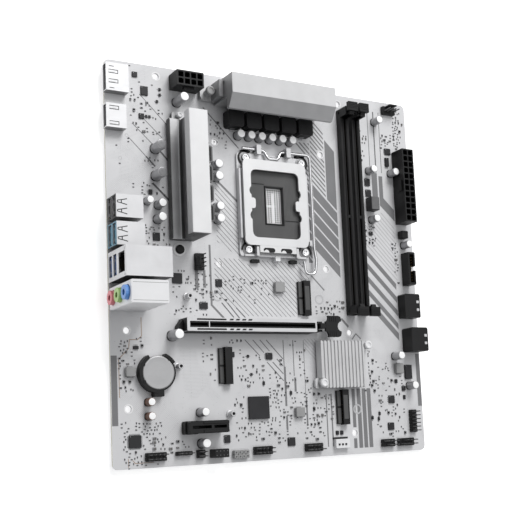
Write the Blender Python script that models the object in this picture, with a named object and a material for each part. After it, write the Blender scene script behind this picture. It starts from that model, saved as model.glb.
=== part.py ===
"""A small desktop motherboard, lying flat with its components up.

Places on the board are given as (u, v, h) in millimetres: u runs from the rear port edge towards the
front of the case, v from the top edge downwards, and h up from the board's upper face.
"""

import math

import bmesh
import bpy
from mathutils import Matrix, Vector

MM = 0.001

# Board
BOARD_WIDTH = 221.5
BOARD_LENGTH = 244.0
BOARD_THICKNESS = 1.6
BOARD_CORNER = 3.5
TAIL_LENGTH = 2.2
TAIL_RADIUS = 0.6
PORT_OVERHANG = 2.0
SEAT = 0.3
MOUNTING_HOLE_RADIUS = 1.98
MOUNTING_HOLES = [
    (33.02, 6.35),
    (165.1, 6.35),
    (10.16, 163.83),
    (165.1, 163.83),
    (10.16, 209.55),
    (165.1, 230.0),
]
COOLER_HOLE_RADIUS = 2.0
COOLER_HOLE_OFFSET = 39.0

# Processor socket and its loading mechanism
SOCKET = (110.25, 82.6)
SOCKET_HALF = (21.65, 25.6)
SOCKET_HEIGHT = 4.6
PACKAGE_HALF = (19.0, 22.8)
CONTACT_FLOOR = 3.3
CAVITY_HALF = (6.0, 11.75)
PLATE_U = (87.2, 133.0)
PLATE_V = (53.9, 109.6)
PLATE_H = (5.1, 6.5)
WINDOW = (109.95, 82.5)
WINDOW_HALF = (17.4, 22.0)
PLATE_PIN = (112.6, 4.4)
PLATE_PIN_RADIUS = 0.9
LEVER_AXIS = (46.5, 3.4)
LEVER_RADIUS = 1.05
LEVER_ARM_U = 138.4
LEVER_CRANK = (106.4, 114.2)
LEVER_BEND_RADIUS = 3.4
BACKPLATE_U = (80.0, 140.5)
BACKPLATE_V = (46.0, 119.2)
BACKPLATE_WINDOW_U = (92.0, 128.5)
BACKPLATE_WINDOW_V = (62.0, 103.2)
FRAME_U = (85.3, 135.3)
FRAME_V = (49.0, 116.3)
SCREW_PLACES = [(91.0, 52.3), (132.2, 52.3), (91.0, 112.0), (132.2, 112.0)]
SCREW_RADIUS = 2.7
PIN_PLAY = 0.35

# Heatsinks
TOP_SINK_U = (71.3, 145.9)
TOP_SINK_PIN = (65.0, 14.0)
LEFT_SINK_V = (33.8, 108.9)
LEFT_SINK_PIN = (45.0, 31.4)
SINK_HEIGHT = 28.0
SINK_FLOOR = 1.5
CHIPSET_SINK_U = (137.3, 170.6)
CHIPSET_SINK_V = (170.0, 200.5)
CHIPSET_SINK_HEIGHT = 8.0
CHIPSET_FINS = 13
CHIPSET_FIN_GAP = 1.3
CHIPSET_BASE_HEIGHT = 3.5
CHIPSET_PINS = [(138.3, 197.2), (173.6, 172.9)]

# Memory slots
MEMORY_SLOTS = {"a": 166.7, "b": 175.7}
MEMORY_HALF_WIDTH = 3.3
MEMORY_V = (11.5, 152.5)
MEMORY_HEIGHT = 5.2
MEMORY_CHEEK_HEIGHT = 12.5
MEMORY_CHEEK_LENGTH = 5.7
MEMORY_LATCH_HEIGHT = 17.0
MEMORY_PIVOT = (2.4, 3.7)
LATCH_PIN_RADIUS = 0.85
LATCH_PIN_HOLE_RADIUS = 1.15

# Expansion slots
SLOT_PITCH = 20.32
LONG_SLOT_V = 160.9
SHORT_SLOT_V = LONG_SLOT_V + 3 * SLOT_PITCH
SLOT_HEIGHT = 11.2
LONG_SLOT_U = (44.5, 133.0)
SHORT_SLOT_U = (43.6, 68.6)
SLOT_KEY_U = (57.2, 58.9)
LATCH_PIVOT = (136.8, 3.4)
CARD_GAP_HALF = 0.9
SHIELD_SKIN = 0.55

# Sockets for flat cards, and the posts that hold the cards' far ends
CARD_SOCKETS = {
    "storage_socket_1": (126.0, 130.6),
    "storage_socket_2": (151.2, 201.6),
    "wireless_socket": (68.0, 173.8),
}
CARD_SOCKET_SIZE = (8.0, 22.7, 4.2)
CARD_POSTS = [(48.6, 143.0), (74.6, 214.6), (41.3, 185.4)]
CARD_POST_RADIUS = 2.3
CARD_POST_HEIGHT = 6.0

# Rear ports: low and high v, depth into the board and height
VIDEO_PORT_1 = (4.2, 21.4, 13.2, 6.2)
VIDEO_PORT_2 = (29.2, 43.9, 11.3, 6.2)
BLACK_STACK = (86.4, 100.0, 16.5, 15.8)
TEAL_STACK = (102.4, 116.2, 17.2, 15.8)
NETWORK_STACK = (118.8, 136.4, 27.7, 30.0)
AUDIO_STACK = (139.3, 152.4, 22.4, 36.0)
JACK_HEIGHTS = {"pink": 6.4, "green": 18.0, "blue": 29.6}
JACK_RADIUS = 4.15
JACK_BORE = 1.8
CAN_WALL = 0.7
PLUG_OPENING = (12.4, 5.1)

# Front edge sockets, as limits in u and in v, and a height
DRIVE_PORT_A = ((205.8, 218.5), (137.6, 154.0), 8.6)
DRIVE_PORT_B = ((207.8, 221.3), (161.0, 177.2), 11.6)
FRONT_PORT_SOCKET = ((210.8, 216.6), (108.4, 131.0), 8.6)
CONTROLLER_CHIP = ((87.4, 101.4), (204.4, 218.4), 1.7)

# Power sockets
CELL_PITCH = 4.2
CELL_HALF = 1.7
POWER_HEIGHT = 12.9
POWER_FLOOR = 3.5
POWER_RIM = (0.95, 1.1)
MAIN_POWER = (208.0, 36.2)
PROCESSOR_POWER = (41.6, 4.6)

# Chokes and battery
CHOKE_HALF = 5.35
CHOKE_HEIGHT = 8.5
CHOKE_PITCH = 12.7
TOP_CHOKES = [83.1 + CHOKE_PITCH * i for i in range(5)]
TOP_CHOKE_V = 28.8
LEFT_CHOKES = [54.4 + 12.45 * i for i in range(4)]
LEFT_CHOKE_U = 60.2
BATTERY = (27.6, 189.0)
BATTERY_RADIUS = 10.0
BATTERY_THICKNESS = 3.2
BATTERY_FLOOR = 1.2
HOLDER_RADIUS = 11.5

ORIGIN_U = (BOARD_WIDTH - PORT_OVERHANG) / 2
ORIGIN_V = BOARD_LENGTH / 2
BOARD_TOP = TAIL_LENGTH + BOARD_THICKNESS


def place(u, v, h):
    """The point (u, v, h) of the board in metres."""
    return Vector((u - ORIGIN_U, ORIGIN_V - v, h + BOARD_TOP)) * MM


def clear_scene():
    for obj in list(bpy.data.objects):
        bpy.data.objects.remove(obj, do_unlink=True)
    for collection in list(bpy.data.collections):
        bpy.data.collections.remove(collection)


def new_collection(name):
    collection = bpy.data.collections.new(name)
    bpy.context.scene.collection.children.link(collection)
    return collection


def principled(name, colour, roughness, metallic=0.0):
    material = bpy.data.materials.new(name)
    material.use_nodes = True
    shader = material.node_tree.nodes["Principled BSDF"]
    shader.inputs["Base Color"].default_value = (*colour, 1.0)
    shader.inputs["Roughness"].default_value = roughness
    shader.inputs["Metallic"].default_value = metallic
    return material


# Shapes: each one adds itself to a bmesh.


def block(u, v, h, corner=0.0, segments=3):
    """A block between (low, high) limits, with its upright edges rounded to the radius corner."""

    def add(bm):
        low, high = place(u[0], v[1], h[0]), place(u[1], v[0], h[1])
        matrix = Matrix.LocRotScale((low + high) / 2, None, high - low)
        made = bmesh.ops.create_cube(bm, size=1.0, matrix=matrix)["verts"]
        if corner:
            edges = {edge for vertex in made for edge in vertex.link_edges}
            upright = [e for e in edges if abs(e.verts[0].co.z - e.verts[1].co.z) > 1e-7]
            bmesh.ops.bevel(
                bm,
                geom=upright,
                offset=corner * MM,
                segments=segments,
                profile=0.5,
                affect="EDGES",
            )

    return add


def rod(start, end, radius, sides=16, end_radius=None):
    """A straight rod or cone between two (u, v, h) points."""

    def add(bm):
        first, last = place(*start), place(*end)
        turn = (last - first).to_track_quat("Z", "Y")
        bmesh.ops.create_cone(
            bm,
            cap_ends=True,
            segments=sides,
            radius1=radius * MM,
            radius2=(radius if end_radius is None else end_radius) * MM,
            depth=(last - first).length,
            matrix=Matrix.LocRotScale((first + last) / 2, turn, None),
        )

    return add


def centred_block(centre, half, h, corner=0.0, segments=3):
    """A block about the point (u, v), reaching half of its size to each side."""
    u, v = centre
    return block((u - half[0], u + half[0]), (v - half[1], v + half[1]), h, corner, segments)


def upright_rod(u, v, h, radius, sides=16, end_radius=None):
    return rod((u, v, h[0]), (u, v, h[1]), radius, sides, end_radius)


def extrusion(outline, along, span):
    """A flat outline pushed along u or v over span. Its points are (v, h) along u, and (u, h) along v."""

    def add(bm):
        curve = bpy.data.curves.new("outline", "CURVE")
        curve.dimensions = "2D"
        curve.fill_mode = "BOTH"
        curve.extrude = (span[1] - span[0]) / 2 * MM
        spline = curve.splines.new("POLY")
        spline.points.add(len(outline) - 1)
        for point, (across, height) in zip(spline.points, outline):
            point.co = (across * MM, height * MM, 0.0, 1.0)
        spline.use_cyclic_u = True
        guide = bpy.data.objects.new("outline", curve)
        bpy.context.scene.collection.objects.link(guide)
        graph = bpy.context.evaluated_depsgraph_get()
        mesh = bpy.data.meshes.new_from_object(guide.evaluated_get(graph))
        bpy.data.objects.remove(guide, do_unlink=True)
        middle = (span[0] + span[1]) / 2
        if along == "u":
            axes = Matrix(((0, 0, 1), (-1, 0, 0), (0, 1, 0))).to_4x4()
            axes.translation = place(middle, 0.0, 0.0)
        else:
            axes = Matrix(((1, 0, 0), (0, 0, -1), (0, 1, 0))).to_4x4()
            axes.translation = place(0.0, middle, 0.0)
        mesh.transform(axes)
        own = bmesh.new()
        own.from_mesh(mesh)
        bmesh.ops.remove_doubles(own, verts=own.verts, dist=1e-6)
        bmesh.ops.recalc_face_normals(own, faces=own.faces)
        own.to_mesh(mesh)
        own.free()
        bm.from_mesh(mesh)
        bpy.data.meshes.remove(mesh)

    return add


def cut(*shapes):
    return "DIFFERENCE", shapes


def join(*shapes):
    return "UNION", shapes


def new_mesh_object(name, shapes, collection):
    bm = bmesh.new()
    for shape in shapes:
        shape(bm)
    bmesh.ops.recalc_face_normals(bm, faces=bm.faces)
    mesh = bpy.data.meshes.new(name)
    bm.to_mesh(mesh)
    bm.free()
    obj = bpy.data.objects.new(name, mesh)
    collection.objects.link(obj)
    return obj


def part(name, material, base, *steps, pivot=None):
    """One sub-part: a base shape, Booleans in the order given, and its origin on its pivot if it moves."""
    obj = new_mesh_object(name, [base], PARTS)
    obj.data.materials.append(material)
    if pivot:
        obj.data.transform(Matrix.Translation(-place(*pivot)))
        obj.location = place(*pivot)
    for number, (operation, shapes) in enumerate(steps):
        helper = new_mesh_object(f"{name}_helper_{number}", shapes, HELPERS)
        helper.hide_render = True
        helper.display_type = "WIRE"
        modifier = obj.modifiers.new(f"{operation.title()} {number}", "BOOLEAN")
        modifier.operation = operation
        modifier.object = helper
        modifier.use_self = True
    obj.data.set_sharp_from_angle(angle=math.radians(35))
    return obj


def make_board(material):
    holes = [(u, v, MOUNTING_HOLE_RADIUS) for u, v in MOUNTING_HOLES]
    for side_u in (-1, 1):
        for side_v in (-1, 1):
            u = SOCKET[0] + side_u * COOLER_HOLE_OFFSET
            v = SOCKET[1] + side_v * COOLER_HOLE_OFFSET
            holes.append((u, v, COOLER_HOLE_RADIUS))
    cutters = [upright_rod(u, v, (-4.0, 2.0), radius) for u, v, radius in holes]
    tail_h = (-BOARD_TOP, -BOARD_THICKNESS / 2)
    tails = [upright_rod(u, v, tail_h, TAIL_RADIUS * 0.7, 6, TAIL_RADIUS) for u, v in tail_places()]
    part(
        "circuit_board",
        material,
        block((0, BOARD_WIDTH), (0, BOARD_LENGTH), (-BOARD_THICKNESS, 0), BOARD_CORNER, 4),
        cut(*cutters),
        join(*tails),
    )


def tail_places():
    """Solder tails below the largest sockets: the board rests on them."""
    stacks = (BLACK_STACK, TEAL_STACK, NETWORK_STACK, AUDIO_STACK)
    places = [(u, v) for u in (4.0, 12.0) for stack in stacks for v in (stack[0] + 1.7, stack[1] - 1.6)]
    video_ports = (VIDEO_PORT_1, VIDEO_PORT_2)
    places += [(u, v) for u in (3.5, 9.5) for port in video_ports for v in (port[0] + 1.8, port[1] - 1.9)]
    places += [(MAIN_POWER[0] + 2.6 + du, v) for du in (0.0, CELL_PITCH) for v in (38.8, 61.9, 85.1)]
    places += [(u, PROCESSOR_POWER[1] + 2.8) for u in (44.4, 57.0)]
    places += [(u, v) for u in MEMORY_SLOTS.values() for v in (19.0, 82.0, 145.0)]
    places += [(u, LONG_SLOT_V) for u in (47.0, 90.0, 131.0)]
    places += [(u, SHORT_SLOT_V) for u in (46.0, 66.0)]
    places += [(u, 237.0) for u in (24.0, 95.0, 134.0, 192.0, 206.0)]
    return places


def make_socket(plastic, steel, plate_steel):
    part(
        "socket_body",
        plastic,
        centred_block(SOCKET, SOCKET_HALF, (SEAT, SOCKET_HEIGHT), 1.5, 2),
        cut(
            centred_block(SOCKET, PACKAGE_HALF, (CONTACT_FLOOR, 9.0)),
            centred_block(SOCKET, CAVITY_HALF, (1.5, 9.0)),
        ),
    )
    make_frame(steel)
    make_load_plate(plate_steel)
    make_load_lever(steel)
    part(
        "socket_backplate",
        steel,
        block(BACKPLATE_U, BACKPLATE_V, (-BOARD_TOP, -BOARD_THICKNESS - SEAT), 5.0, 3),
        cut(block(BACKPLATE_WINDOW_U, BACKPLATE_WINDOW_V, (-6.0, 0.0), 3.0, 2)),
    )
    for number, (u, v) in enumerate(SCREW_PLACES, 1):
        part(
            f"socket_screw_{number}",
            steel,
            upright_rod(u, v, (2.1, 3.5), SCREW_RADIUS, 14, SCREW_RADIUS - 0.5),
            cut(upright_rod(u, v, (2.7, 5.0), 1.1, 6)),
        )


def make_frame(steel):
    """The fixed frame round the socket, with bearings for the lever and for the plate's pin."""
    lever_v, lever_h = LEVER_AXIS
    pin_v, pin_h = PLATE_PIN
    bearings = [block((u, u + 3.2), (lever_v - 2.6, 50.0), (SEAT, 6.0)) for u in (98.0, 119.8)]
    cheeks = [block((u, u + 1.7), (pin_v - 2.2, FRAME_V[1]), (SEAT, 6.0)) for u in (95.1, 123.9)]
    part(
        "socket_frame",
        steel,
        block(FRAME_U, FRAME_V, (SEAT, 1.8), 2.0, 2),
        cut(centred_block(SOCKET, (SOCKET_HALF[0] + 0.45, SOCKET_HALF[1] + 0.45), (-2.0, 5.0))),
        join(
            block((FRAME_U[0], FRAME_U[0] + 1.2), (60.0, 105.0), (SEAT, 4.4)),
            block((FRAME_U[1] - 1.2, FRAME_U[1]), (60.0, 105.0), (SEAT, 4.4)),
            block((88.0, 132.5), (115.2, FRAME_V[1]), (SEAT, 3.4)),
            block((135.0, 136.9), (104.0, 107.5), (SEAT, 4.6)),
            *bearings,
            *cheeks,
        ),
        cut(
            rod((80.0, lever_v, lever_h), (140.0, lever_v, lever_h), LEVER_RADIUS + PIN_PLAY, 12),
            rod((90.0, pin_v, pin_h), (130.0, pin_v, pin_h), PLATE_PIN_RADIUS + PIN_PLAY, 10),
        ),
    )


def make_load_plate(steel):
    """The plate that clamps the processor. It swings about the pin at its lower edge."""
    cu, cv = WINDOW
    half_u = WINDOW_HALF[0]
    pin_v, pin_h = PLATE_PIN
    bulges = [
        upright_rod(cu + side * (half_u - 2.0), cv + end * 8.0, (0.0, 9.0), 3.4, 12)
        for side in (-1, 1)
        for end in (-1, 1)
    ]
    tabs = [
        block((cu - half_u - 2.6, cu - half_u + 2.8), (cv - 3.4, cv + 3.4), PLATE_H, 1.4, 2),
        block((cu + half_u - 2.8, cu + half_u + 2.6), (cv - 3.4, cv + 3.4), PLATE_H, 1.4, 2),
    ]
    lips = [
        block((PLATE_U[0], PLATE_U[0] + 1.0), (60.0, 104.0), (2.7, 5.8)),
        block((PLATE_U[1] - 1.0, PLATE_U[1]), (60.0, 104.0), (2.7, 5.8)),
    ]
    arms = [block((u, u + 6.6), (PLATE_V[1] - 0.9, pin_v + 0.8), (3.2, 6.2)) for u in (97.8, 116.4)]
    part(
        "load_plate",
        steel,
        block(PLATE_U, PLATE_V, PLATE_H, 3.5, 3),
        cut(centred_block(WINDOW, WINDOW_HALF, (0.0, 9.0), 3.5, 3)),
        cut(*bulges),
        join(
            *tabs,
            *lips,
            *arms,
            rod((95.5, pin_v, pin_h), (125.2, pin_v, pin_h), PLATE_PIN_RADIUS, 10),
        ),
        pivot=(SOCKET[0], pin_v, pin_h),
    )


def rounded_route(corners, radius, steps):
    """The corner points of a wire, each inner one replaced by an arc."""
    points = [Vector(corners[0])]
    for before, corner, after in zip(corners, corners[1:], corners[2:]):
        before, corner, after = Vector(before), Vector(corner), Vector(after)
        back, on = (before - corner).normalized(), (after - corner).normalized()
        half = back.angle(on) / 2
        reach = min(radius / math.tan(half), (before - corner).length / 2, (after - corner).length / 2)
        for step in range(steps + 1):
            share = step / steps
            first = corner + back * reach * (1 - share)
            second = corner + on * reach * share
            points.append(first.lerp(second, share))
    points.append(Vector(corners[-1]))
    return points


def make_load_lever(steel):
    """One bent wire: a crank across the top, an arm down the right side and a finger loop."""
    axis_v, axis_h = LEVER_AXIS
    crank_v, crank_h = axis_v + 5.4, axis_h + 1.0
    crank_low, crank_high = LEVER_CRANK
    arm = LEVER_ARM_U
    corners = [
        (88.8, axis_v, axis_h),
        (crank_low - 2.2, axis_v, axis_h),
        (crank_low, crank_v, crank_h),
        (crank_high, crank_v, crank_h),
        (crank_high + 2.2, axis_v, axis_h),
        (arm, axis_v, axis_h),
        (arm, 109.0, axis_h + 0.4),
        (arm + 1.0, 117.0, axis_h + 0.8),
        (arm - 0.4, 126.2, axis_h + 1.0),
        (arm - 7.6, 126.2, axis_h + 1.0),
        (arm - 8.4, 118.2, axis_h + 1.0),
    ]
    curve = bpy.data.curves.new("load_lever", "CURVE")
    curve.dimensions = "3D"
    curve.bevel_depth = LEVER_RADIUS * MM
    curve.bevel_resolution = 2
    curve.use_fill_caps = True
    spline = curve.splines.new("POLY")
    points = rounded_route(corners, LEVER_BEND_RADIUS, 4)
    spline.points.add(len(points) - 1)
    pivot = place(SOCKET[0], axis_v, axis_h)
    for target, point in zip(spline.points, points):
        target.co = (*(place(*point) - pivot), 1.0)
    curve.materials.append(steel)
    lever = bpy.data.objects.new("load_lever", curve)
    lever.location = pivot
    PARTS.objects.link(lever)


def make_heatsinks(aluminium, white_metal, pin_plastic):
    top = SINK_HEIGHT
    pin_u, pin_v = TOP_SINK_PIN
    part(
        "power_heatsink_top",
        white_metal,
        extrusion(
            [
                (6.8, SINK_FLOOR),
                (6.8, top),
                (19.6, top),
                (27.8, 22.0),
                (27.8, 19.6),
                (20.4, 19.6),
                (20.4, SINK_FLOOR),
            ],
            "u",
            TOP_SINK_U,
        ),
        join(block((pin_u - 4.4, pin_u + 8.0), (pin_v - 4.6, pin_v + 4.6), (SINK_FLOOR, 4.0), 2.5, 2)),
        cut(upright_rod(pin_u, pin_v, (0.0, 6.0), 2.0, 12)),
    )
    make_spring_pin("heatsink_pin_top", pin_plastic, pin_u, pin_v, 1.6, 3.0, 11.0)
    pin_u, pin_v = LEFT_SINK_PIN
    part(
        "power_heatsink_left",
        aluminium,
        extrusion(
            [
                (38.4, SINK_FLOOR),
                (53.8, SINK_FLOOR),
                (53.8, top),
                (41.9, top),
                (41.9, 21.0),
                (46.2, 21.0),
                (46.2, 6.0),
                (38.4, 6.0),
            ],
            "v",
            LEFT_SINK_V,
        ),
        join(block((pin_u - 4.0, pin_u + 4.0), (pin_v - 2.8, pin_v + 3.6), (SINK_FLOOR, 4.0), 1.5, 2)),
        cut(upright_rod(pin_u, pin_v, (0.0, 6.0), 1.6, 12)),
    )
    make_spring_pin("heatsink_pin_left", pin_plastic, pin_u, pin_v, 1.2, 1.9, 8.0)
    make_chipset_heatsink(white_metal, pin_plastic)


def make_spring_pin(name, material, u, v, stem, head, height):
    part(
        name,
        material,
        upright_rod(u, v, (SEAT, height), stem, 12),
        join(upright_rod(u, v, (height - 2.2, height), head, 14)),
    )


def make_chipset_heatsink(metal, pin_plastic):
    low_u, high_u = CHIPSET_SINK_U
    low_v, high_v = CHIPSET_SINK_V
    gap, base = CHIPSET_FIN_GAP, CHIPSET_BASE_HEIGHT
    pitch = (high_u - low_u + gap) / CHIPSET_FINS
    grooves = [
        block((low_u + pitch * i - gap, low_u + pitch * i), (low_v - 5, high_v + 5), (base, 12.0))
        for i in range(1, CHIPSET_FINS)
    ]
    (u_1, v_1), (u_2, v_2) = CHIPSET_PINS
    part(
        "chipset_heatsink",
        metal,
        block(CHIPSET_SINK_U, CHIPSET_SINK_V, (SINK_FLOOR, CHIPSET_SINK_HEIGHT)),
        cut(*grooves),
        cut(*[upright_rod(u, v, (base, 12.0), 3.5, 14) for u, v in CHIPSET_PINS]),
        join(
            block((u_1 - 3.6, u_1 + 3.6), (v_1 - 3.4, v_1 + 3.3), (SINK_FLOOR, base), 1.5, 2),
            block((u_2 - 4.6, u_2 + 3.6), (v_2 - 2.9, v_2 + 3.4), (SINK_FLOOR, base), 1.5, 2),
        ),
        cut(*[upright_rod(u, v, (0.0, 9.0), 1.9, 12) for u, v in CHIPSET_PINS]),
    )
    for number, (u, v) in enumerate(CHIPSET_PINS, 1):
        make_spring_pin(f"chipset_pin_{number}", pin_plastic, u, v, 1.5, 2.9, 9.6)


def make_memory_slots(plastic):
    low, high = MEMORY_V
    for name, u in MEMORY_SLOTS.items():
        near, far = u - MEMORY_HALF_WIDTH, u + MEMORY_HALF_WIDTH
        towers, channels, pivots = [], [], []
        for end, inward in ((low, 1), (high, -1)):
            limits = sorted((end, end + inward * MEMORY_CHEEK_LENGTH))
            towers.append(block((near, far), limits, (SEAT, MEMORY_CHEEK_HEIGHT)))
            reach = sorted((end - inward * 2.0, end + inward * (MEMORY_CHEEK_LENGTH + 1.0)))
            channels.append(block((u - 2.05, u + 2.05), reach, (1.4, 20.0)))
            pivot_v = end + inward * MEMORY_PIVOT[0]
            first, last = (near - 2, pivot_v, MEMORY_PIVOT[1]), (far + 2, pivot_v, MEMORY_PIVOT[1])
            pivots.append(rod(first, last, LATCH_PIN_HOLE_RADIUS, 10))
        part(
            f"memory_slot_{name}",
            plastic,
            block((near, far), (low + 1.0, high - 1.0), (SEAT, MEMORY_HEIGHT)),
            join(*towers),
            cut(block((u - 0.75, u + 0.75), (low + 3.0, high - 3.0), (1.6, 20.0)), *channels, *pivots),
        )
        make_memory_latch(f"memory_latch_{name}_top", plastic, u, low, 1)
        make_memory_latch(f"memory_latch_{name}_bottom", plastic, u, high, -1)


def make_memory_latch(name, plastic, u, end, inward):
    """A latch that swings outwards about its pin. inward is +1 or -1: the slot's middle along v."""
    pivot_v, pivot_h = end + inward * MEMORY_PIVOT[0], MEMORY_PIVOT[1]
    profile = [
        (-1.3, 2.3),
        (1.5, 2.3),
        (2.0, 7.0),
        (2.0, 12.6),
        (3.6, 13.2),
        (3.6, 14.6),
        (1.4, 15.4),
        (-1.2, 15.4),
    ]
    outline = [(pivot_v + inward * across, height) for across, height in profile]
    tab = sorted((pivot_v - inward * 4.4, pivot_v + inward * 1.6))
    part(
        name,
        plastic,
        extrusion(outline, "u", (u - 1.7, u + 1.7)),
        join(
            block((u - 3.6, u + 3.6), tab, (14.2, MEMORY_LATCH_HEIGHT)),
            rod((u - 2.9, pivot_v, pivot_h), (u + 2.9, pivot_v, pivot_h), LATCH_PIN_RADIUS, 10),
        ),
        pivot=(u, pivot_v, pivot_h),
    )


def make_expansion_slots(plastic, shield_steel):
    v = LONG_SLOT_V
    low_u, high_u = LONG_SLOT_U
    pivot_u, pivot_h = LATCH_PIVOT
    part(
        "long_slot",
        plastic,
        block(LONG_SLOT_U, (v - 3.2, v + 3.2), (SEAT, SLOT_HEIGHT - 0.4)),
        join(block((high_u - 1.0, 139.8), (v - 3.2, v + 3.2), (SEAT, 6.8))),
        cut(
            block((low_u + 1.4, SLOT_KEY_U[0]), (v - CARD_GAP_HALF, v + CARD_GAP_HALF), (3.0, 20.0)),
            block((SLOT_KEY_U[1], high_u - 1.4), (v - CARD_GAP_HALF, v + CARD_GAP_HALF), (3.0, 20.0)),
            block((pivot_u - 2.6, pivot_u + 4.2), (v - 1.9, v + 1.9), (1.3, 20.0)),
            rod((pivot_u, v - 5, pivot_h), (pivot_u, v + 5, pivot_h), LATCH_PIN_HOLE_RADIUS, 10),
        ),
    )
    part(
        "long_slot_shield",
        shield_steel,
        block(
            (low_u - 0.9, high_u + 0.1),
            (v - 3.5 - SHIELD_SKIN, v + 3.5 + SHIELD_SKIN),
            (0.5, SLOT_HEIGHT + 0.2),
            0.5,
            1,
        ),
        cut(
            block((low_u - 3, high_u + 3), (v - 3.5, v + 3.5), (-1.0, SLOT_HEIGHT - 0.1)),
            block((low_u + 0.9, high_u - 1.0), (v - 1.85, v + 1.85), (2.0, 20.0)),
        ),
    )
    make_slot_latch(plastic)
    v = SHORT_SLOT_V
    low_u, high_u = SHORT_SLOT_U
    part(
        "short_slot",
        plastic,
        block(SHORT_SLOT_U, (v - 3.7, v + 3.7), (SEAT, SLOT_HEIGHT), 0.8, 1),
        cut(
            block((low_u + 1.5, SLOT_KEY_U[0]), (v - CARD_GAP_HALF, v + CARD_GAP_HALF), (3.0, 20.0)),
            block((SLOT_KEY_U[1], high_u - 1.5), (v - CARD_GAP_HALF, v + CARD_GAP_HALF), (3.0, 20.0)),
        ),
    )


def make_slot_latch(plastic):
    """The card latch at the end of the long slot. Pressing its wings tips it outwards."""
    v = LONG_SLOT_V
    pivot_u, pivot_h = LATCH_PIVOT
    profile = [
        (-1.4, 2.2),
        (1.4, 2.2),
        (2.2, 6.6),
        (5.0, 7.6),
        (5.4, 9.4),
        (2.4, 9.6),
        (1.2, 13.0),
        (-1.8, 13.0),
        (-2.2, 11.6),
        (-0.8, 11.0),
        (-0.8, 7.0),
    ]
    outline = [(pivot_u + across, height) for across, height in profile]
    part(
        "long_slot_latch",
        plastic,
        extrusion(outline, "v", (v - 1.5, v + 1.5)),
        join(
            block((141.0, 152.8), (v - 6.9, v + 6.9), (7.6, 9.4), 2.0, 2),
            rod((pivot_u, v - 2.9, pivot_h), (pivot_u, v + 2.9, pivot_h), LATCH_PIN_RADIUS, 10),
        ),
        cut(
            upright_rod(153.4, v, (0.0, 20.0), 3.4, 12),
            upright_rod(140.6, v - 5.6, (0.0, 20.0), 2.6, 12),
            upright_rod(140.6, v + 5.6, (0.0, 20.0), 2.6, 12),
        ),
        pivot=(pivot_u, v, pivot_h),
    )


def make_card_sockets(plastic, post_metal):
    """Low sockets whose cards run towards the rear ports and end on posts."""
    depth, long, height = CARD_SOCKET_SIZE
    for name, (u, v) in CARD_SOCKETS.items():
        part(
            name,
            plastic,
            block((u + 3.2, u + depth), (v, v + long), (SEAT, height)),
            join(block((u, u + 4.0), (v + 0.5, v + long - 0.5), (SEAT, 1.5))),
            cut(block((u - 1.0, u + depth - 1.6), (v + 1.4, v + long - 1.4), (1.9, 3.1))),
        )
    for number, (u, v) in enumerate(CARD_POSTS, 1):
        part(
            f"card_post_{number}",
            post_metal,
            upright_rod(u, v, (SEAT, CARD_POST_HEIGHT), CARD_POST_RADIUS, 12),
            cut(upright_rod(u, v, (2.0, 9.0), 1.25, 10)),
        )


def make_power_socket(name, plastic, corner, columns, rows, ledge):
    """A housing of square cells with a latch ledge on one long side."""
    u, v = corner
    wide, long = columns * CELL_PITCH + POWER_RIM[0], rows * CELL_PITCH + POWER_RIM[1]
    first_u = u + wide / 2 - (columns - 1) / 2 * CELL_PITCH
    first_v = v + long / 2 - (rows - 1) / 2 * CELL_PITCH
    cells = [
        centred_block(
            (first_u + i * CELL_PITCH, first_v + j * CELL_PITCH),
            (CELL_HALF, CELL_HALF),
            (POWER_FLOOR, 20.0),
        )
        for i in range(columns)
        for j in range(rows)
    ]
    housing = block((u, u + wide), (v, v + long), (SEAT, POWER_HEIGHT))
    part(name, plastic, housing, join(ledge), cut(*cells))


def make_power_sockets(plastic):
    u, v = MAIN_POWER
    ledge = block((u - 1.5, u + 1.0), (v + 22.0, v + 29.5), (7.6, 10.2))
    make_power_socket("main_power_socket", plastic, MAIN_POWER, 2, 12, ledge)
    u, v = PROCESSOR_POWER
    ledge = block((u + 5.5, u + 12.3), (v + 8.5, v + 11.0), (7.6, 10.2))
    make_power_socket("processor_power_socket", plastic, PROCESSOR_POWER, 4, 2, ledge)


def make_drive_port(name, plastic, limits, openings, blades):
    """A housing open to the front, with a contact blade in each opening."""
    (low_u, high_u), (low_v, high_v), height = limits
    holes = [block((high_u - 8.0, high_u + 9.0), (low_v + 1.8, high_v - 1.8), h) for h in openings]
    tongues = [block((high_u - 9.0, high_u - 1.3), (low_v + 3.4, high_v - 3.4), h) for h in blades]
    part(
        name,
        plastic,
        block((low_u, high_u), (low_v, high_v), (SEAT, height), 0.8, 1),
        cut(*holes),
        join(*tongues),
    )


def make_front_edge_sockets(plastic):
    make_drive_port("drive_port_a", plastic, DRIVE_PORT_A, [(2.2, 6.0)], [(3.6, 4.8)])
    openings, blades = [(1.5, 5.1), (6.6, 10.2)], [(2.8, 3.9), (7.9, 9.0)]
    make_drive_port("drive_port_b", plastic, DRIVE_PORT_B, openings, blades)
    (low_u, high_u), (low_v, high_v), height = FRONT_PORT_SOCKET
    middle_v = (low_v + high_v) / 2
    part(
        "front_port_socket",
        plastic,
        block((low_u, high_u), (low_v, high_v), (SEAT, height)),
        cut(
            block((low_u + 1.2, high_u - 1.2), (low_v + 1.4, high_v - 1.4), (2.0, 20.0)),
            block((high_u - 1.8, high_u + 1.4), (middle_v - 1.5, middle_v + 1.5), (3.6, 20.0)),
        ),
    )


def front_hole(limits_v, limits_h, depth):
    return block((-9.0, depth), limits_v, limits_h)


def tongue(limits_v, limits_h, front, depth):
    return block((front, depth), limits_v, limits_h)


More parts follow.
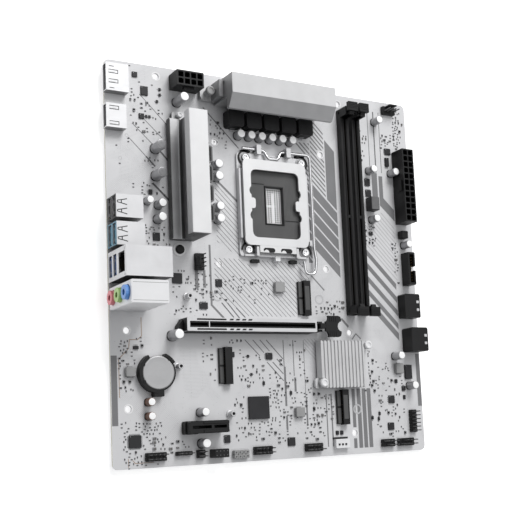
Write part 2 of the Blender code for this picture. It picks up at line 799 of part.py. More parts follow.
def make_video_ports(steel):
    low, high, depth, height = VIDEO_PORT_1
    part(
        "video_port_1",
        steel,
        block((-0.8, depth), (low, high), (SEAT, height)),
        cut(front_hole((low + CAN_WALL, high - CAN_WALL), (1.1, height - CAN_WALL), 8.0)),
        join(tongue((low + 2.6, high - 2.6), (2.6, 3.9), 0.8, 9.0)),
    )
    low, high, depth, height = VIDEO_PORT_2
    part(
        "video_port_2",
        steel,
        block((-1.1, depth), (low, high), (SEAT, height)),
        cut(front_hole((low + CAN_WALL, high - CAN_WALL), (1.1, height - CAN_WALL), 8.0)),
        join(tongue((low + 2.0, high - 2.0), (2.6, 3.9), 0.5, 9.0)),
    )


def make_stack(name, steel, stack, levels, extra=()):
    """A metal can with one plug opening for each level, and a contact tongue in each opening."""
    low, high, depth, height = stack
    middle = (low + high) / 2
    wide, tall = PLUG_OPENING
    hole_v, tongue_v = (middle - wide / 2, middle + wide / 2), (middle - 5.4, middle + 5.4)
    holes = [front_hole(hole_v, (level, level + tall), 12.0) for level in levels]
    tongues = [tongue(tongue_v, (level + 2.6, level + 4.4), 1.2, 13.0) for level in levels]
    can = block((0.0, depth), (low, high), (SEAT, height))
    part(name, steel, can, cut(*holes, *extra), join(*tongues))


def make_rear_stacks(steel, white_plastic, jack_materials):
    make_stack("dual_port_stack_black", steel, BLACK_STACK, (1.6, 9.2))
    make_stack("dual_port_stack_teal", steel, TEAL_STACK, (1.6, 9.2))
    middle = (NETWORK_STACK[0] + NETWORK_STACK[1]) / 2
    network_hole = block((-9.0, 13.0), (middle - 5.9, middle + 5.9), (17.6, 27.4))
    make_stack("network_port_stack", steel, NETWORK_STACK, (1.6, 9.0), (network_hole,))
    low, high, depth, height = AUDIO_STACK
    middle = (low + high) / 2
    sockets = []
    for h in JACK_HEIGHTS.values():
        sockets.append(rod((-5.0, middle, h), (2.3, middle, h), JACK_RADIUS + 0.35, 18))
        sockets.append(rod((-5.0, middle, h), (15.0, middle, h), JACK_BORE, 12))
    part(
        "audio_jack_stack",
        white_plastic,
        block((0.3, depth), (low, high), (SEAT, height), 0.5, 1),
        cut(*sockets),
    )
    for colour, h in JACK_HEIGHTS.items():
        part(
            f"audio_jack_{colour}",
            jack_materials[colour],
            rod((-PORT_OVERHANG, middle, h), (2.0, middle, h), JACK_RADIUS, 18),
            cut(rod((-5.0, middle, h), (5.0, middle, h), JACK_BORE, 12)),
        )


def make_battery(plastic, cell_steel):
    u, v = BATTERY
    part(
        "battery_holder",
        plastic,
        upright_rod(u, v, (SEAT, 4.4), HOLDER_RADIUS, 28),
        join(block((u - 3.4, u + 3.4), (v + 9.0, v + 13.4), (SEAT, 5.4))),
        cut(
            upright_rod(u, v, (BATTERY_FLOOR, 9.0), BATTERY_RADIUS + 0.4, 28),
            block((u - 5.0, u + 3.0), (v - 15.0, v - 8.0), (2.2, 9.0)),
        ),
    )
    low = BATTERY_FLOOR + 0.4
    cell = upright_rod(u, v, (low, low + BATTERY_THICKNESS), BATTERY_RADIUS, 28, BATTERY_RADIUS - 0.2)
    part("battery", cell_steel, cell)


def make_chokes(material):
    places = [(f"choke_top_{i}", u, TOP_CHOKE_V) for i, u in enumerate(TOP_CHOKES, 1)]
    places += [(f"choke_left_{i}", LEFT_CHOKE_U, v) for i, v in enumerate(LEFT_CHOKES, 1)]
    half = (CHOKE_HALF, CHOKE_HALF)
    for name, u, v in places:
        part(name, material, centred_block((u, v), half, (SEAT, CHOKE_HEIGHT), 1.0, 1))


def make_controller_chip(material):
    limits_u, limits_v, height = CONTROLLER_CHIP
    part("controller_chip", material, block(limits_u, limits_v, (SEAT, height)))


clear_scene()
PARTS = new_collection("motherboard")
HELPERS = new_collection("helpers")

BLACK_PLASTIC = principled("black plastic", (0.02, 0.02, 0.022), 0.5)
GREY_PLASTIC = principled("contact field grey", (0.12, 0.12, 0.12), 0.6)
WHITE_PLASTIC = principled("white plastic", (0.8, 0.8, 0.8), 0.45)
WHITE_METAL = principled("white painted metal", (0.78, 0.78, 0.78), 0.4)
SATIN_ALUMINIUM = principled("satin aluminium", (0.7, 0.7, 0.71), 0.4, 1.0)
BRIGHT_STEEL = principled("bright steel", (0.75, 0.75, 0.76), 0.3, 1.0)
PLATE_STEEL = principled("plate steel", (0.82, 0.82, 0.83), 0.35, 1.0)
SOLDER_MASK = principled("white solder mask", (0.75, 0.75, 0.76), 0.5)
FERRITE = principled("dark ferrite", (0.05, 0.05, 0.055), 0.5)
JACKS = {
    "pink": principled("pink jack", (0.7, 0.25, 0.28), 0.4),
    "green": principled("green jack", (0.35, 0.55, 0.2), 0.4),
    "blue": principled("blue jack", (0.15, 0.3, 0.6), 0.4),
}

make_board(SOLDER_MASK)
make_socket(GREY_PLASTIC, BRIGHT_STEEL, PLATE_STEEL)
make_heatsinks(SATIN_ALUMINIUM, WHITE_METAL, WHITE_PLASTIC)
make_memory_slots(BLACK_PLASTIC)
make_expansion_slots(BLACK_PLASTIC, BRIGHT_STEEL)
make_card_sockets(BLACK_PLASTIC, BRIGHT_STEEL)
make_power_sockets(BLACK_PLASTIC)
make_front_edge_sockets(BLACK_PLASTIC)
make_video_ports(BRIGHT_STEEL)
make_rear_stacks(BRIGHT_STEEL, WHITE_PLASTIC, JACKS)
make_battery(BLACK_PLASTIC, BRIGHT_STEEL)
make_chokes(FERRITE)
make_controller_chip(FERRITE)
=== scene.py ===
"""The looks of a small desktop motherboard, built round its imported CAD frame.

Places on the board are (u, v, h) in millimetres: u runs from the rear port edge towards the front of
the case, v from the top edge downwards, and h up from the board's upper face. Limits are pairs.
"""

import math
import random
from itertools import product

import bmesh
import bpy
from mathutils import Matrix, Vector


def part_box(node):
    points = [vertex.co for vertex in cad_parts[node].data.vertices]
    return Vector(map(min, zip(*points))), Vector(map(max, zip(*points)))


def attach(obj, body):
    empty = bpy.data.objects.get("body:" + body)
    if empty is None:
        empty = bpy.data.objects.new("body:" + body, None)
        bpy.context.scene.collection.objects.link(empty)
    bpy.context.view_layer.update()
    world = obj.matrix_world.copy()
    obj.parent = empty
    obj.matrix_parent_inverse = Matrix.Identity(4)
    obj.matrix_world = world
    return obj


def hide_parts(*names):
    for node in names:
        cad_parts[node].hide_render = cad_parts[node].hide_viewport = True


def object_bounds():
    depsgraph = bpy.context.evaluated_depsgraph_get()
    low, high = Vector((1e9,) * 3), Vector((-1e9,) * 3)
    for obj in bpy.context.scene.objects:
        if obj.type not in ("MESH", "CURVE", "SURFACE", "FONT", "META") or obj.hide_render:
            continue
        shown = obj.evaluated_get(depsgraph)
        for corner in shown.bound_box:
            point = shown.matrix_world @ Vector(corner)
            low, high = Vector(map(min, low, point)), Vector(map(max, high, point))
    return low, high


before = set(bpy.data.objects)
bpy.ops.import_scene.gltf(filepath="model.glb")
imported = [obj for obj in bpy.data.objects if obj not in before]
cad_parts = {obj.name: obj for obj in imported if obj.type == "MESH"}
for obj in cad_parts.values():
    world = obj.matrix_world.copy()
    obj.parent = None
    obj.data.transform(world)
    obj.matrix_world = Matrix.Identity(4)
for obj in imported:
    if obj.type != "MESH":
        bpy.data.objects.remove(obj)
CAD_LOW, CAD_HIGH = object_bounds()

MM = 0.001
BOARD_LOW, BOARD_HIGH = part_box("circuit_board")
UNDERSIDE = -1.6
PITCH = 2.54
INK = 0.03
RANDOM = random.Random(7)
SIDES = (-1, 1)
CORNERS = ((-1, -1), (1, -1), (1, 1), (-1, 1))
MOUNTING_HOLES = ((33.02, 6.35), (165.1, 6.35), (10.16, 163.83), (165.1, 163.83), (10.16, 209.55),
                  (165.1, 230))


def place(u, v, h):
    """The point (u, v, h) of the board in metres."""
    return Vector((BOARD_LOW.x + u * MM, BOARD_HIGH.y - v * MM, BOARD_HIGH.z + h * MM))


def on_board(point):
    """The u, v and h of a point in metres."""
    return (point.x - BOARD_LOW.x) / MM, (BOARD_HIGH.y - point.y) / MM, (point.z - BOARD_HIGH.z) / MM


def span(node):
    """The limits of a CAD node along u, v and h."""
    low, high = (on_board(corner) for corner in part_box(node))
    return (low[0], high[0]), (high[1], low[1]), (low[2], high[2])


def middle(limits):
    return (limits[0] + limits[1]) / 2


def centre_of(node):
    u, v, _ = span(node)
    return middle(u), middle(v)


def around(centre, half):
    return centre - half, centre + half


def inset(limits, by):
    return limits[0] + by, limits[1] - by


# Materials

MIX_COLOURS, MIX_RESULT = (6, 7), 2


class Finish:
    """One procedural material while its nodes are put together."""

    def __init__(self, name, colour, roughness, metallic=0):
        self.material = bpy.data.materials.new(name)
        self.material.use_nodes = True
        self.tree = self.material.node_tree
        self.shader = self.tree.nodes["Principled BSDF"]
        self.shader.inputs["Base Color"].default_value = (*colour, 1)
        self.shader.inputs["Roughness"].default_value = roughness
        self.shader.inputs["Metallic"].default_value = metallic
        self.shader.inputs["Specular IOR Level"].default_value = 0.28 if max(colour) < 0.1 else 0.5
        self.coordinates = self.node("TexCoord").outputs["Object"]

    def feed(self, socket, value):
        """Sets a socket, or links it where the value is another node's output."""
        if isinstance(value, bpy.types.NodeSocket):
            self.tree.links.new(value, socket)
        else:
            socket.default_value = value

    def node(self, kind, **values):
        """A new node. Its inputs are given by name, with _ for a space."""
        node = self.tree.nodes.new("ShaderNode" + kind)
        for name, value in values.items():
            self.feed(node.inputs[name.replace("_", " ")], value)
        return node

    def noise(self, scale, detail=3, vector=None):
        vector = self.coordinates if vector is None else vector
        return self.node("TexNoise", Vector=vector, Scale=scale, Detail=detail).outputs["Fac"]

    def remap(self, value, low, high, source=(0.3, 0.7)):
        limits = {"From_Min": source[0], "From_Max": source[1], "To_Min": low, "To_Max": high}
        return self.node("MapRange", Value=value, **limits).outputs["Result"]

    def blend(self, share, first, second):
        """A mix of two colours, each given as RGBA or as another node's output."""
        mix = self.node("Mix", Factor=share)
        mix.data_type = "RGBA"
        for index, colour in zip(MIX_COLOURS, (first, second)):
            self.feed(mix.inputs[index], colour)
        return mix.outputs[MIX_RESULT]

    def join(self, colour, grain, gloss, strength, depth):
        """Gives the shader its colour, and a gloss and bump that follow the grain."""
        bump = self.node("Bump", Strength=strength, Distance=depth * MM, Height=grain)
        self.feed(self.shader.inputs["Base Color"], colour)
        self.feed(self.shader.inputs["Roughness"], self.remap(grain, *gloss))
        self.feed(self.shader.inputs["Normal"], bump.outputs["Normal"])
        return self.material


def plain_finish(name, colour, roughness, mottle, metallic=0, grain=3500, depth=0.02, stretch=None):
    """Fine grain as bump, and slow changes of colour. A stretched grain runs one way like brushing."""
    finish = Finish(name, colour, roughness, metallic)
    vector = finish.coordinates
    if stretch:
        vector = finish.node("Mapping", Vector=vector, Scale=stretch).outputs["Vector"]
    fine = finish.noise(grain, vector=vector)
    share = finish.remap(finish.noise(90, 4), 0, 1)
    dark, light = ((*(min(1, c * change) for c in colour), 1) for change in (1 - mottle, 1 + mottle))
    gloss = roughness * 0.88, min(1, roughness * 1.14)
    return finish.join(finish.blend(share, dark, light), fine, gloss, 0.5, depth)


def solder_mask():
    """White solder mask over copper: faint tracks, pour edges and a fine orange peel."""
    mask = Finish("white_solder_mask", (0.7, 0.7, 0.71), 0.42)
    share = mask.remap(mask.noise(22, 5), 0, 1)
    colour = mask.blend(share, (0.6, 0.6, 0.61, 1), (0.66, 0.66, 0.67, 1))
    for degrees, patch_scale in ((45, 31), (0, 43)):
        turned = mask.node("Mapping", Vector=mask.coordinates, Rotation=(0, 0, math.radians(degrees)))
        tracks = mask.node("TexBrick", Vector=turned.outputs["Vector"], Scale=1, Brick_Width=0.012,
                           Row_Height=0.00082, Mortar_Size=0.00009, Mortar_Smooth=0.3)
        tracks.offset = 0.37
        lines = mask.node("Math")
        lines.operation = "MULTIPLY"
        mask.feed(lines.inputs[0], tracks.outputs["Fac"])
        mask.feed(lines.inputs[1], mask.remap(mask.noise(patch_scale, 2), 0, 0.7, (0.55, 0.6)))
        colour = mask.blend(lines.outputs["Value"], colour, (0.4, 0.4, 0.41, 1))
    return mask.join(colour, mask.noise(1800), (0.36, 0.48), 0.35, 0.015)


# Each row: slot, colour, roughness, mottle, metallic, scale, depth and stretch of the grain.
BRUSHED_ALONG, BRUSHED_ACROSS = (0.06, 1, 1), (1, 0.06, 1)
FINISH_ROWS = {
    "black_plastic": ("black_plastic", (0.0085, 0.0085, 0.009), 0.48, 0.2, 0, 3500, 0.03),
    "chip_epoxy": ("black_plastic", (0.022, 0.022, 0.024), 0.46, 0.15, 0, 5200),
    "charcoal_ferrite": ("contact_grey", (0.016, 0.016, 0.017), 0.5, 0.2, 0, 2600, 0.04),
    "grey_ferrite": ("contact_grey", (0.3, 0.3, 0.3), 0.42, 0.08, 0, 2400, 0.03),
    "contact_field_grey": ("contact_grey", (0.085, 0.085, 0.085), 0.55, 0.12, 0, 3000),
    "grey_choke": ("contact_grey", (0.12, 0.12, 0.122), 0.45, 0.2, 0, 2600, 0.04),
    "ceramic_grey": ("contact_grey", (0.13, 0.122, 0.112), 0.45, 0.3, 0, 4000),
    "white_plastic": ("white_plastic", (0.78, 0.78, 0.79), 0.35, 0.03),
    "white_painted_metal": ("white_metal", (0.76, 0.76, 0.765), 0.38, 0.03, 0, 2600, 0.03),
    "bright_steel": ("bright_steel", (0.6, 0.6, 0.61), 0.45, 0.05, 0.45, 1400, 0.02, (0.1, 1, 1)),
    "plate_steel": ("plate_steel", (0.68, 0.68, 0.685), 0.42, 0.03, 0.4, 1600, 0.02, (1, 0.08, 1)),
    # Bright steel darkened: painted shade for the rear ports' side faces.
    "painted_shade_steel": ("bright_steel", (0.27, 0.27, 0.275), 0.42, 0.12, 0.6, 1400, 0.02, (1, 0.1, 1)),
    # Painted shade on the heatsinks' stems and end faces; also the plain grey of the screw washers and the
    # top heatsink's bracket.
    "grey_aluminium_and_shade": ("white_metal", (0.27, 0.27, 0.275), 0.42, 0.1, 0.4, 1500, 0.02, BRUSHED_ACROSS),
    # Painted half shade on the heatsinks' flange and slope.
    "half_shade_aluminium": ("white_metal", (0.53, 0.53, 0.535), 0.42, 0.06, 0.4, 1500, 0.02, BRUSHED_ALONG),
    "silver_paint": ("white_metal", (0.58, 0.58, 0.585), 0.5, 0.04, 0, 1700, 0.02, BRUSHED_ALONG),
    # Painted deep shade on the left heatsink's flange wall and end faces.
    "deep_shade_aluminium": ("white_metal", (0.075, 0.075, 0.077), 0.45, 0.25, 0.2, 1200),
    "lever_wire": ("bright_steel", (0.85, 0.85, 0.86), 0.18, 0.04, 1, 900, 0.005),
    "battery_steel": ("cell_steel", (0.4, 0.4, 0.405), 0.45, 0.05, 0.6, 1300, 0.02, (0.2, 1, 1)),
    "tin": ("bright_steel", (0.27, 0.27, 0.28), 0.36, 0.08, 0.7, 2200),
    "gold_plate": ("gold_contact", (0.86, 0.64, 0.32), 0.25, 0.06, 1, 2600, 0.01),
    # The next two rows: cans darker than their own aluminium, painted shade on their sides, and near-white
    # lids, painted light on their tops.
    "capacitor_shaded_can": ("satin_aluminium", (0.44, 0.44, 0.45), 0.34, 0.04, 0.55, 1800, 0.01),
    "capacitor_lit_top": ("white_metal", (0.98, 0.98, 0.98), 0.4, 0.03, 0, 2400),
    "capacitor_grey_top": ("satin_aluminium", (0.17, 0.17, 0.175), 0.4, 0.35, 0.3, 900, 0.05),
    "brown_sleeve": ("brown_sleeve", (0.16, 0.075, 0.045), 0.3, 0.15),
    "teal_plastic": ("teal_plastic", (0.015, 0.17, 0.27), 0.35, 0.06),
    "blue_plastic": ("blue_plastic", (0.015, 0.085, 0.28), 0.35, 0.06),
    "pink_jack": ("jack_pink", (0.78, 0.24, 0.27), 0.38, 0.05),
    "green_jack": ("jack_green", (0.4, 0.6, 0.2), 0.38, 0.05),
    "blue_jack": ("jack_blue", (0.11, 0.29, 0.68), 0.38, 0.05),
    "grey_ink": ("silk_grey", (0.185, 0.185, 0.19), 0.6, 0.06, 0, 2600),
    "light_ink": ("silk_grey", (0.47, 0.47, 0.48), 0.55, 0.05, 0, 2600),
    "dark_ink": ("silk_grey", (0.12, 0.12, 0.125), 0.6, 0.08, 0, 2600),
    "raised_track": ("board_white", (0.6, 0.6, 0.61), 0.42, 0.04),
    "brown_line": ("gold_contact", (0.36, 0.25, 0.18), 0.5, 0.08),
    "laminate_edge": ("board_white", (0.62, 0.6, 0.52), 0.6, 0.08, 0, 2200),
    "floor_white": ("board_white", (0.97, 0.97, 0.97), 0.7, 0.004, 0, 300),
}
MATERIALS = {name: plain_finish(name, *row[1:]) for name, row in FINISH_ROWS.items()}
MATERIALS["white_solder_mask"] = solder_mask()


# Mesh building


def rectangle(u, v):
    return [(u[0], v[0]), (u[1], v[0]), (u[1], v[1]), (u[0], v[1])]


def arc(u, v, radius, start, end, steps):
    """Points of an arc about (u, v), by angles in degrees."""
    angles = [math.radians(start + (end - start) * i / steps) for i in range(steps + 1)]
    return [(u + radius * math.cos(a), v + radius * math.sin(a)) for a in angles]


def circle(u, v, radius, sides):
    return arc(u, v, radius, 0, 360, sides)[:-1]


def rounded(u, v, radius):
    """A rectangle with rounded corners."""
    radius = min(radius, (u[1] - u[0]) / 2.01, (v[1] - v[0]) / 2.01)
    (near_u, far_u), (near_v, far_v) = inset(u, radius), inset(v, radius)
    corners = ((far_u, far_v, 0), (near_u, far_v, 90), (near_u, near_v, 180), (far_u, near_v, 270))
    return [point for cu, cv, start in corners for point in arc(cu, cv, radius, start, start + 90, 3)]


def clipped(polygon, region):
    """The part of a convex polygon inside a convex region given in the same turning direction."""
    for (au, av), (bu, bv) in zip(region, region[1:] + region[:1]):
        sides = [(bu - au) * (v - av) - (bv - av) * (u - au) for u, v in polygon]
        kept = []
        for i, one in enumerate(sides):
            first, second, two = polygon[i - 1], polygon[i], sides[i - 1]
            if one * two < 0:
                share = two / (two - one)
                kept.append(tuple(a + (b - a) * share for a, b in zip(first, second)))
            if one >= 0:
                kept.append(second)
        polygon = kept
    return polygon


PIECES = []


class Piece:
    """Small shapes of one finish, gathered into one mesh that rides on a body and may replace a node."""

    def __init__(self, name, finish, slot=None, body="board", node=None):
        self.name, self.finish, self.body, self.node = name, finish, body, node
        self.slot = slot or FINISH_ROWS[finish][0]
        self.points, self.faces, self.soft = [], [], []
        PIECES.append(self)

    def skin(self, rings, soft=False):
        """A closed skin through rings of (u, v, h) points."""
        start, count = len(self.points), len(rings[0])
        self.points += [place(*point) for ring in rings for point in ring]
        last = len(self.points) - count
        for low in range(start, last, count):
            for i in range(count):
                j = (i + 1) % count
                self.faces.append((low + i, low + j, low + count + j, low + count + i))
                self.soft.append(soft)
        self.faces.append(tuple(range(start + count - 1, start - 1, -1)))
        self.faces.append(tuple(range(last, last + count)))
        self.soft += [False, False]

    def layers(self, *levels):
        """A skin through flat outlines, each with its height."""
        self.skin([[(u, v, h) for u, v in outline] for outline, h in levels])

    def slab(self, outline, h=(0, INK)):
        self.layers((outline, h[0]), (outline, h[1]))

    def block(self, u, v, h=(0, INK), chamfer=0):
        """A block whose top edges may be chamfered."""
        if not chamfer:
            return self.slab(rectangle(u, v), h)
        low, top = rectangle(u, v), rectangle(inset(u, chamfer), inset(v, chamfer))
        return self.layers((low, h[0]), (low, h[1] - chamfer), (top, h[1]))

    def bar(self, u, v, half, h, chamfer=0):
        """A block centred on (u, v). half is its half width, or a pair of them."""
        half_u, half_v = half if isinstance(half, tuple) else (half, half)
        self.block(around(u, half_u), around(v, half_v), h, chamfer)

    def round_block(self, u, v, h, radius, chamfer=0.15):
        low = rounded(u, v, radius)
        top = rounded(inset(u, chamfer), inset(v, chamfer), max(radius - chamfer, 0.02))
        self.layers((low, h[0]), (low, h[1] - chamfer), (top, h[1]))

    def turned(self, at, profile, sides=20, lying=False, lobed=()):
        """A turned shape. Its profile is (radius, way along the axis). Rings in lobed have six lobes."""
        u, v, h = (*at, 0)[:3]
        rings = []
        for number, (radius, along) in enumerate(profile):
            angles = [2 * math.pi * i / sides for i in range(sides)]
            reaches = [radius + (0.24 * math.cos(6 * a) if number in lobed else 0) for a in angles]
            ring = [(reach * math.cos(a), reach * math.sin(a)) for reach, a in zip(reaches, angles)]
            if lying:
                rings.append([(u + along, v + a, h + b) for a, b in ring])
            else:
                rings.append([(u + a, v + b, h + along) for a, b in ring])
        self.skin(rings, True)

    def wire(self, route, size, sides=10):
        """A wire along (u, v, h) points: round by its radius, or flat by its (width, thickness)."""
        flat = isinstance(size, tuple)
        angles = [2 * math.pi * k / sides for k in range(sides)]
        section = [(size * math.cos(a), size * math.sin(a)) for a in angles] if not flat else [
            (a * size[0] / 2, b * size[1] / 2) for a, b in CORNERS]
        points = [Vector(point) for point in route]
        rings, side = [], None
        for i, point in enumerate(points):
            ahead = (points[min(i + 1, len(points) - 1)] - points[max(i - 1, 0)]).normalized()
            if side is None:
                helper = Vector((0, 0, 1)) if abs(ahead.z) < 0.9 else Vector((0, 1, 0))
                side = ahead.cross(helper).normalized()
            side = (side - ahead * side.dot(ahead)).normalized()
            rings.append([point + side * a + side.cross(ahead) * b for a, b in section])
        self.skin(rings, not flat)

    def ribbon(self, route, width, h=(0, INK)):
        """A flat line along (u, v) points with mitred corners."""
        points = [Vector(p) for p in route]
        runs = [(after - before).normalized() for before, after in zip(points, points[1:])]
        rings = []
        for point, before, after in zip(points, [runs[0], *runs], [*runs, runs[-1]]):
            normals = [Vector((-run.y, run.x)) for run in (before, after)]
            mitre = (normals[0] + normals[1]).normalized()
            reach = width / 2 / max(mitre.dot(normals[0]), 0.3)
            near, far = point - mitre * reach, point + mitre * reach
            rings.append([(*near, h[0]), (*far, h[0]), (*far, h[1]), (*near, h[1])])
        self.skin(rings)

    def stripes(self, region, pitch, width, first=0):
        """45 degree stripes, running down and to the front, over a convex region."""
        offsets = [u - v for u, v in region]
        low, high = min(offsets), max(offsets)
        left, right = min(u for u, v in region) - 5, max(u for u, v in region) + 5
        start = math.floor((low - first) / pitch) * pitch + first
        for i in range(int((high - low) / pitch) + 3):
            near = start + i * pitch
            far = near + width
            band = [(left, left - far), (right, right - far), (right, right - near), (left, left - near)]
            outline = clipped(band, region)
            if len(outline) > 2:
                self.slab(outline)

    def ring(self, u, v, inner, outer, h=(0, INK), sides=36):
        """A flat ring, as two half rings so that each is a plain outline."""
        for start in (0, 180):
            outside = arc(u, v, outer, start, start + 180, sides // 2)
            self.slab(outside + arc(u, v, inner, start + 180, start, sides // 2), h)

    def make(self):
        mesh = bpy.data.meshes.new(self.name)
        mesh.from_pydata(self.points, [], self.faces)
        mesh.polygons.foreach_set("use_smooth", self.soft)
        work = bmesh.new()
        work.from_mesh(mesh)
        bmesh.ops.recalc_face_normals(work, faces=work.faces)
        work.to_mesh(mesh)
        work.free()
        mesh.set_sharp_from_angle(angle=math.radians(40))
        mesh.materials.append(MATERIALS[self.finish])
        obj = bpy.data.objects.new(self.name, mesh)
        bpy.context.scene.collection.objects.link(obj)
        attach(obj, self.body)
        if self.node:
            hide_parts(self.node)


# Pieces shared by many small parts

CHIPS = Piece("chip_bodies", "chip_epoxy")
LEGS = Piece("chip_legs", "tin")
PADS = Piece("solder_pads", "tin")
RESISTORS = Piece("resistor_bodies", "black_plastic")
CERAMICS = Piece("ceramic_bodies", "ceramic_grey")
ENDS = Piece("part_ends", "tin")
OUTLINES = Piece("ink_outlines", "light_ink")
CAN_BODIES = Piece("capacitor_cans", "capacitor_shaded_can")
CAN_LIDS = Piece("capacitor_lids", "capacitor_lit_top")
CAN_GREY_LIDS = Piece("capacitor_grey_lids", "capacitor_grey_top")
CAN_SEATS = Piece("capacitor_seats", "black_plastic")
SLEEVES = Piece("capacitor_sleeves", "brown_sleeve")
HEADER_BASES = Piece("header_bases", "black_plastic")
HEADER_PINS = Piece("header_pins", "grey_choke", "bright_steel")
GREY_BLOCKS = Piece("grey_inductors", "grey_ferrite")
SOLDER = Piece("solder_joints", "tin")
TAKEN = []


def keep_clear(u, v, margin=0.5):
    TAKEN.append((u[0] - margin, u[1] + margin, v[0] - margin, v[1] + margin))


def is_free(u, v, reach):
    return all(u + reach < a or u - reach > b or v + reach < c or v - reach > d for a, b, c, d in TAKEN)


def swapped(pair, swap):
    return (pair[1], pair[0]) if swap else pair


def joint_below(u, v):
    """A soldered through-hole joint on the underside."""
    SOLDER.turned((u, v, UNDERSIDE), [(0.95, 0.05), (0.9, -0.1), (0.45, -0.7), (0.3, -1.3)], 8)


def outline_box(u, v, gap=0.5):
    """A printed rectangle round a part."""
    corners = rectangle(inset(u, -gap), inset(v, -gap))
    for ends in zip(corners, corners[1:] + corners[:1]):
        OUTLINES.ribbon(ends, 0.18)


def chip(u, v, size, legs="", pitch=0.65, height=0.95, dimple=True):
    """A moulded chip. legs names the sides with gull-wing legs: l, r, t and b. Without any it has pads."""
    half_u, half_v = size[0] / 2, size[1] / 2
    limits = around(u, half_u), around(v, half_v)
    CHIPS.block(*limits, (0.08, height), 0.12)
    keep_clear(*limits, 1)
    bends = ((-0.1, height * 0.55), (0.25, height * 0.55), (0.45, 0.1), (0.95, 0.1))
    for letter, (out_u, out_v) in zip("lrtb", ((-1, 0), (1, 0), (0, -1), (0, 1))):
        count = max(1, int((2 * (half_v if out_u else half_u) - 0.5) / pitch))
        for i in range(count):
            shift = (i - (count - 1) / 2) * pitch
            leg_u = u + (out_u * half_u if out_u else shift)
            leg_v = v + (out_v * half_v if out_v else shift)
            if letter in legs:
                route = [(leg_u + out_u * s, leg_v + out_v * s, h) for s, h in bends]
                LEGS.wire(route, (pitch * 0.42, 0.13))
            elif not legs:
                PADS.bar(leg_u, leg_v, swapped((0.3, pitch * 0.22), not out_u), (0, 0.1))
    if dimple and min(size) > 2.5:
        OUTLINES.slab(circle(u - half_u + 0.7, v - half_v + 0.7, 0.22, 10), (height, height + 0.012))
        OUTLINES.slab(circle(u - half_u - 0.9, v - half_v - 0.5, 0.28, 10))


def passive(u, v, size, height, upright, body):
    """A resistor or capacitor: a body between two tinned ends."""
    long, wide = size[0] / 2, size[1] / 2
    cap = long * 0.24
    body.bar(u, v, swapped((long - cap * 2 + 0.02, wide + 0.02), upright), (0.04, height), 0.04)
    for side in SIDES:
        out_u, out_v = swapped((side * (long - cap), 0), upright)
        end_u, end_v = u + out_u, v + out_v
        ENDS.bar(end_u, end_v, swapped((cap + 0.02, wide + 0.02), upright), (0.02, height + 0.03), 0.05)
        PADS.bar(end_u, end_v, swapped((cap + 0.12, wide + 0.12), upright), (0, 0.04))


SIZES = (((1, 0.5), 0.4), ((1, 0.5), 0.35), ((1.6, 0.8), 0.5), ((1.6, 0.8), 0.8), ((2, 1.25), 0.9))


def scatter(u, v, count, big):
    """Small resistors and capacitors in tidy groups over a region. big is the share of larger ones."""
    tries = 0
    while count > 0 and tries < 900:
        tries += 1
        cu, cv = RANDOM.uniform(*u), RANDOM.uniform(*v)
        index = RANDOM.randrange(2, 5) if RANDOM.random() < big else RANDOM.randrange(2)
        size, height = SIZES[index]
        upright = RANDOM.random() < 0.5
        body = RESISTORS if RANDOM.random() < 0.72 else CERAMICS
        for i in range(RANDOM.choice((1, 1, 2, 3, 4))):
            step_u, step_v = swapped((0, i * (size[1] + 0.55)), upright)
            at_u, at_v = cu + step_u, cv + step_v
            if count > 0 and is_free(at_u, at_v, size[0] * 0.62):
                passive(at_u, at_v, size, height, upright, body)
                half_u, half_v = swapped((size[0] / 2, size[1] / 2), upright)
                keep_clear(around(at_u, half_u), around(at_v, half_v), 0.25)
                count -= 1


def can(u, v, radius, height, lid=CAN_LIDS, sleeve=CAN_BODIES):
    """A round capacitor: seat, crimped can and lid. The can's darker finish is painted shade on its sides,
    and the near-white lid is painted light on its top.
    """
    limits = around(u, radius), around(v, radius)
    CAN_SEATS.slab(rounded(*limits, radius * 0.7), (0, 0.9))
    profile = [(radius * 0.9, 0.6), (radius, 0.9), (radius, 1.7), (radius * 0.93, 2.1), (radius, 2.5),
               (radius, height - 0.5), (radius * 0.95, height - 0.12), (radius * 0.88, height)]
    sleeve.turned((u, v), profile, 32)
    lid.turned((u, v), [(radius * 0.86, height - 0.3), (radius * 0.86, height + 0.06),
                        (radius * 0.8, height + 0.12), (radius * 0.3, height + 0.05)], 32)
    OUTLINES.slab(circle(u, v, radius + 0.5, 28))
    keep_clear(*limits, 0.6)
    for side in SIDES:
        joint_below(u + side * 1.2, v)


def header(u, v, columns, rows, missing=None, pin_top=8.4, base=HEADER_BASES, base_height=2.5):
    """A pin header whose corner is at (u, v), columns along u and rows along v."""
    for i, j in product(range(columns), range(rows)):
        cell_u, cell_v = around(u + (i + 0.5) * PITCH, PITCH / 2), around(v + (j + 0.5) * PITCH, PITCH / 2)
        base.round_block(inset(cell_u, 0.02), inset(cell_v, 0.02), (0.05, base_height), 0.55)
        if (i, j) != missing:
            HEADER_PINS.bar(middle(cell_u), middle(cell_v), 0.32, (0.1, pin_top), 0.22)
            joint_below(middle(cell_u), middle(cell_v))
    limits = (u, u + columns * PITCH), (v, v + rows * PITCH)
    outline_box(*limits, 0.6)
    keep_clear(*limits, 0.7)


def fan_header(u, v, upright):
    """A four-pin fan header: base, back wall with its rib, and pins."""
    long, wide, wall = 10.2, 5.6, 1.1
    far_u, far_v = swapped((long, wide), upright)
    limits = (u, u + far_u), (v, v + far_v)
    HEADER_BASES.round_block(*limits, (0.1, 3), 0.3)
    if upright:
        HEADER_BASES.round_block((u, u + wall), (v + 2, v + long - 2), (2, 8.6), 0.3)
    else:
        HEADER_BASES.round_block((u + 2, u + long - 2), (v, v + wall), (2, 8.6), 0.3)
    for i in range(4):
        step_u, step_v = swapped((1.3 + i * PITCH, 3.3), upright)
        HEADER_PINS.bar(u + step_u, v + step_v, 0.32, (2, 10.4), 0.22)
        joint_below(u + step_u, v + step_v)
    outline_box(*limits)
    keep_clear(*limits, 0.7)


# The CAD nodes' own finishes

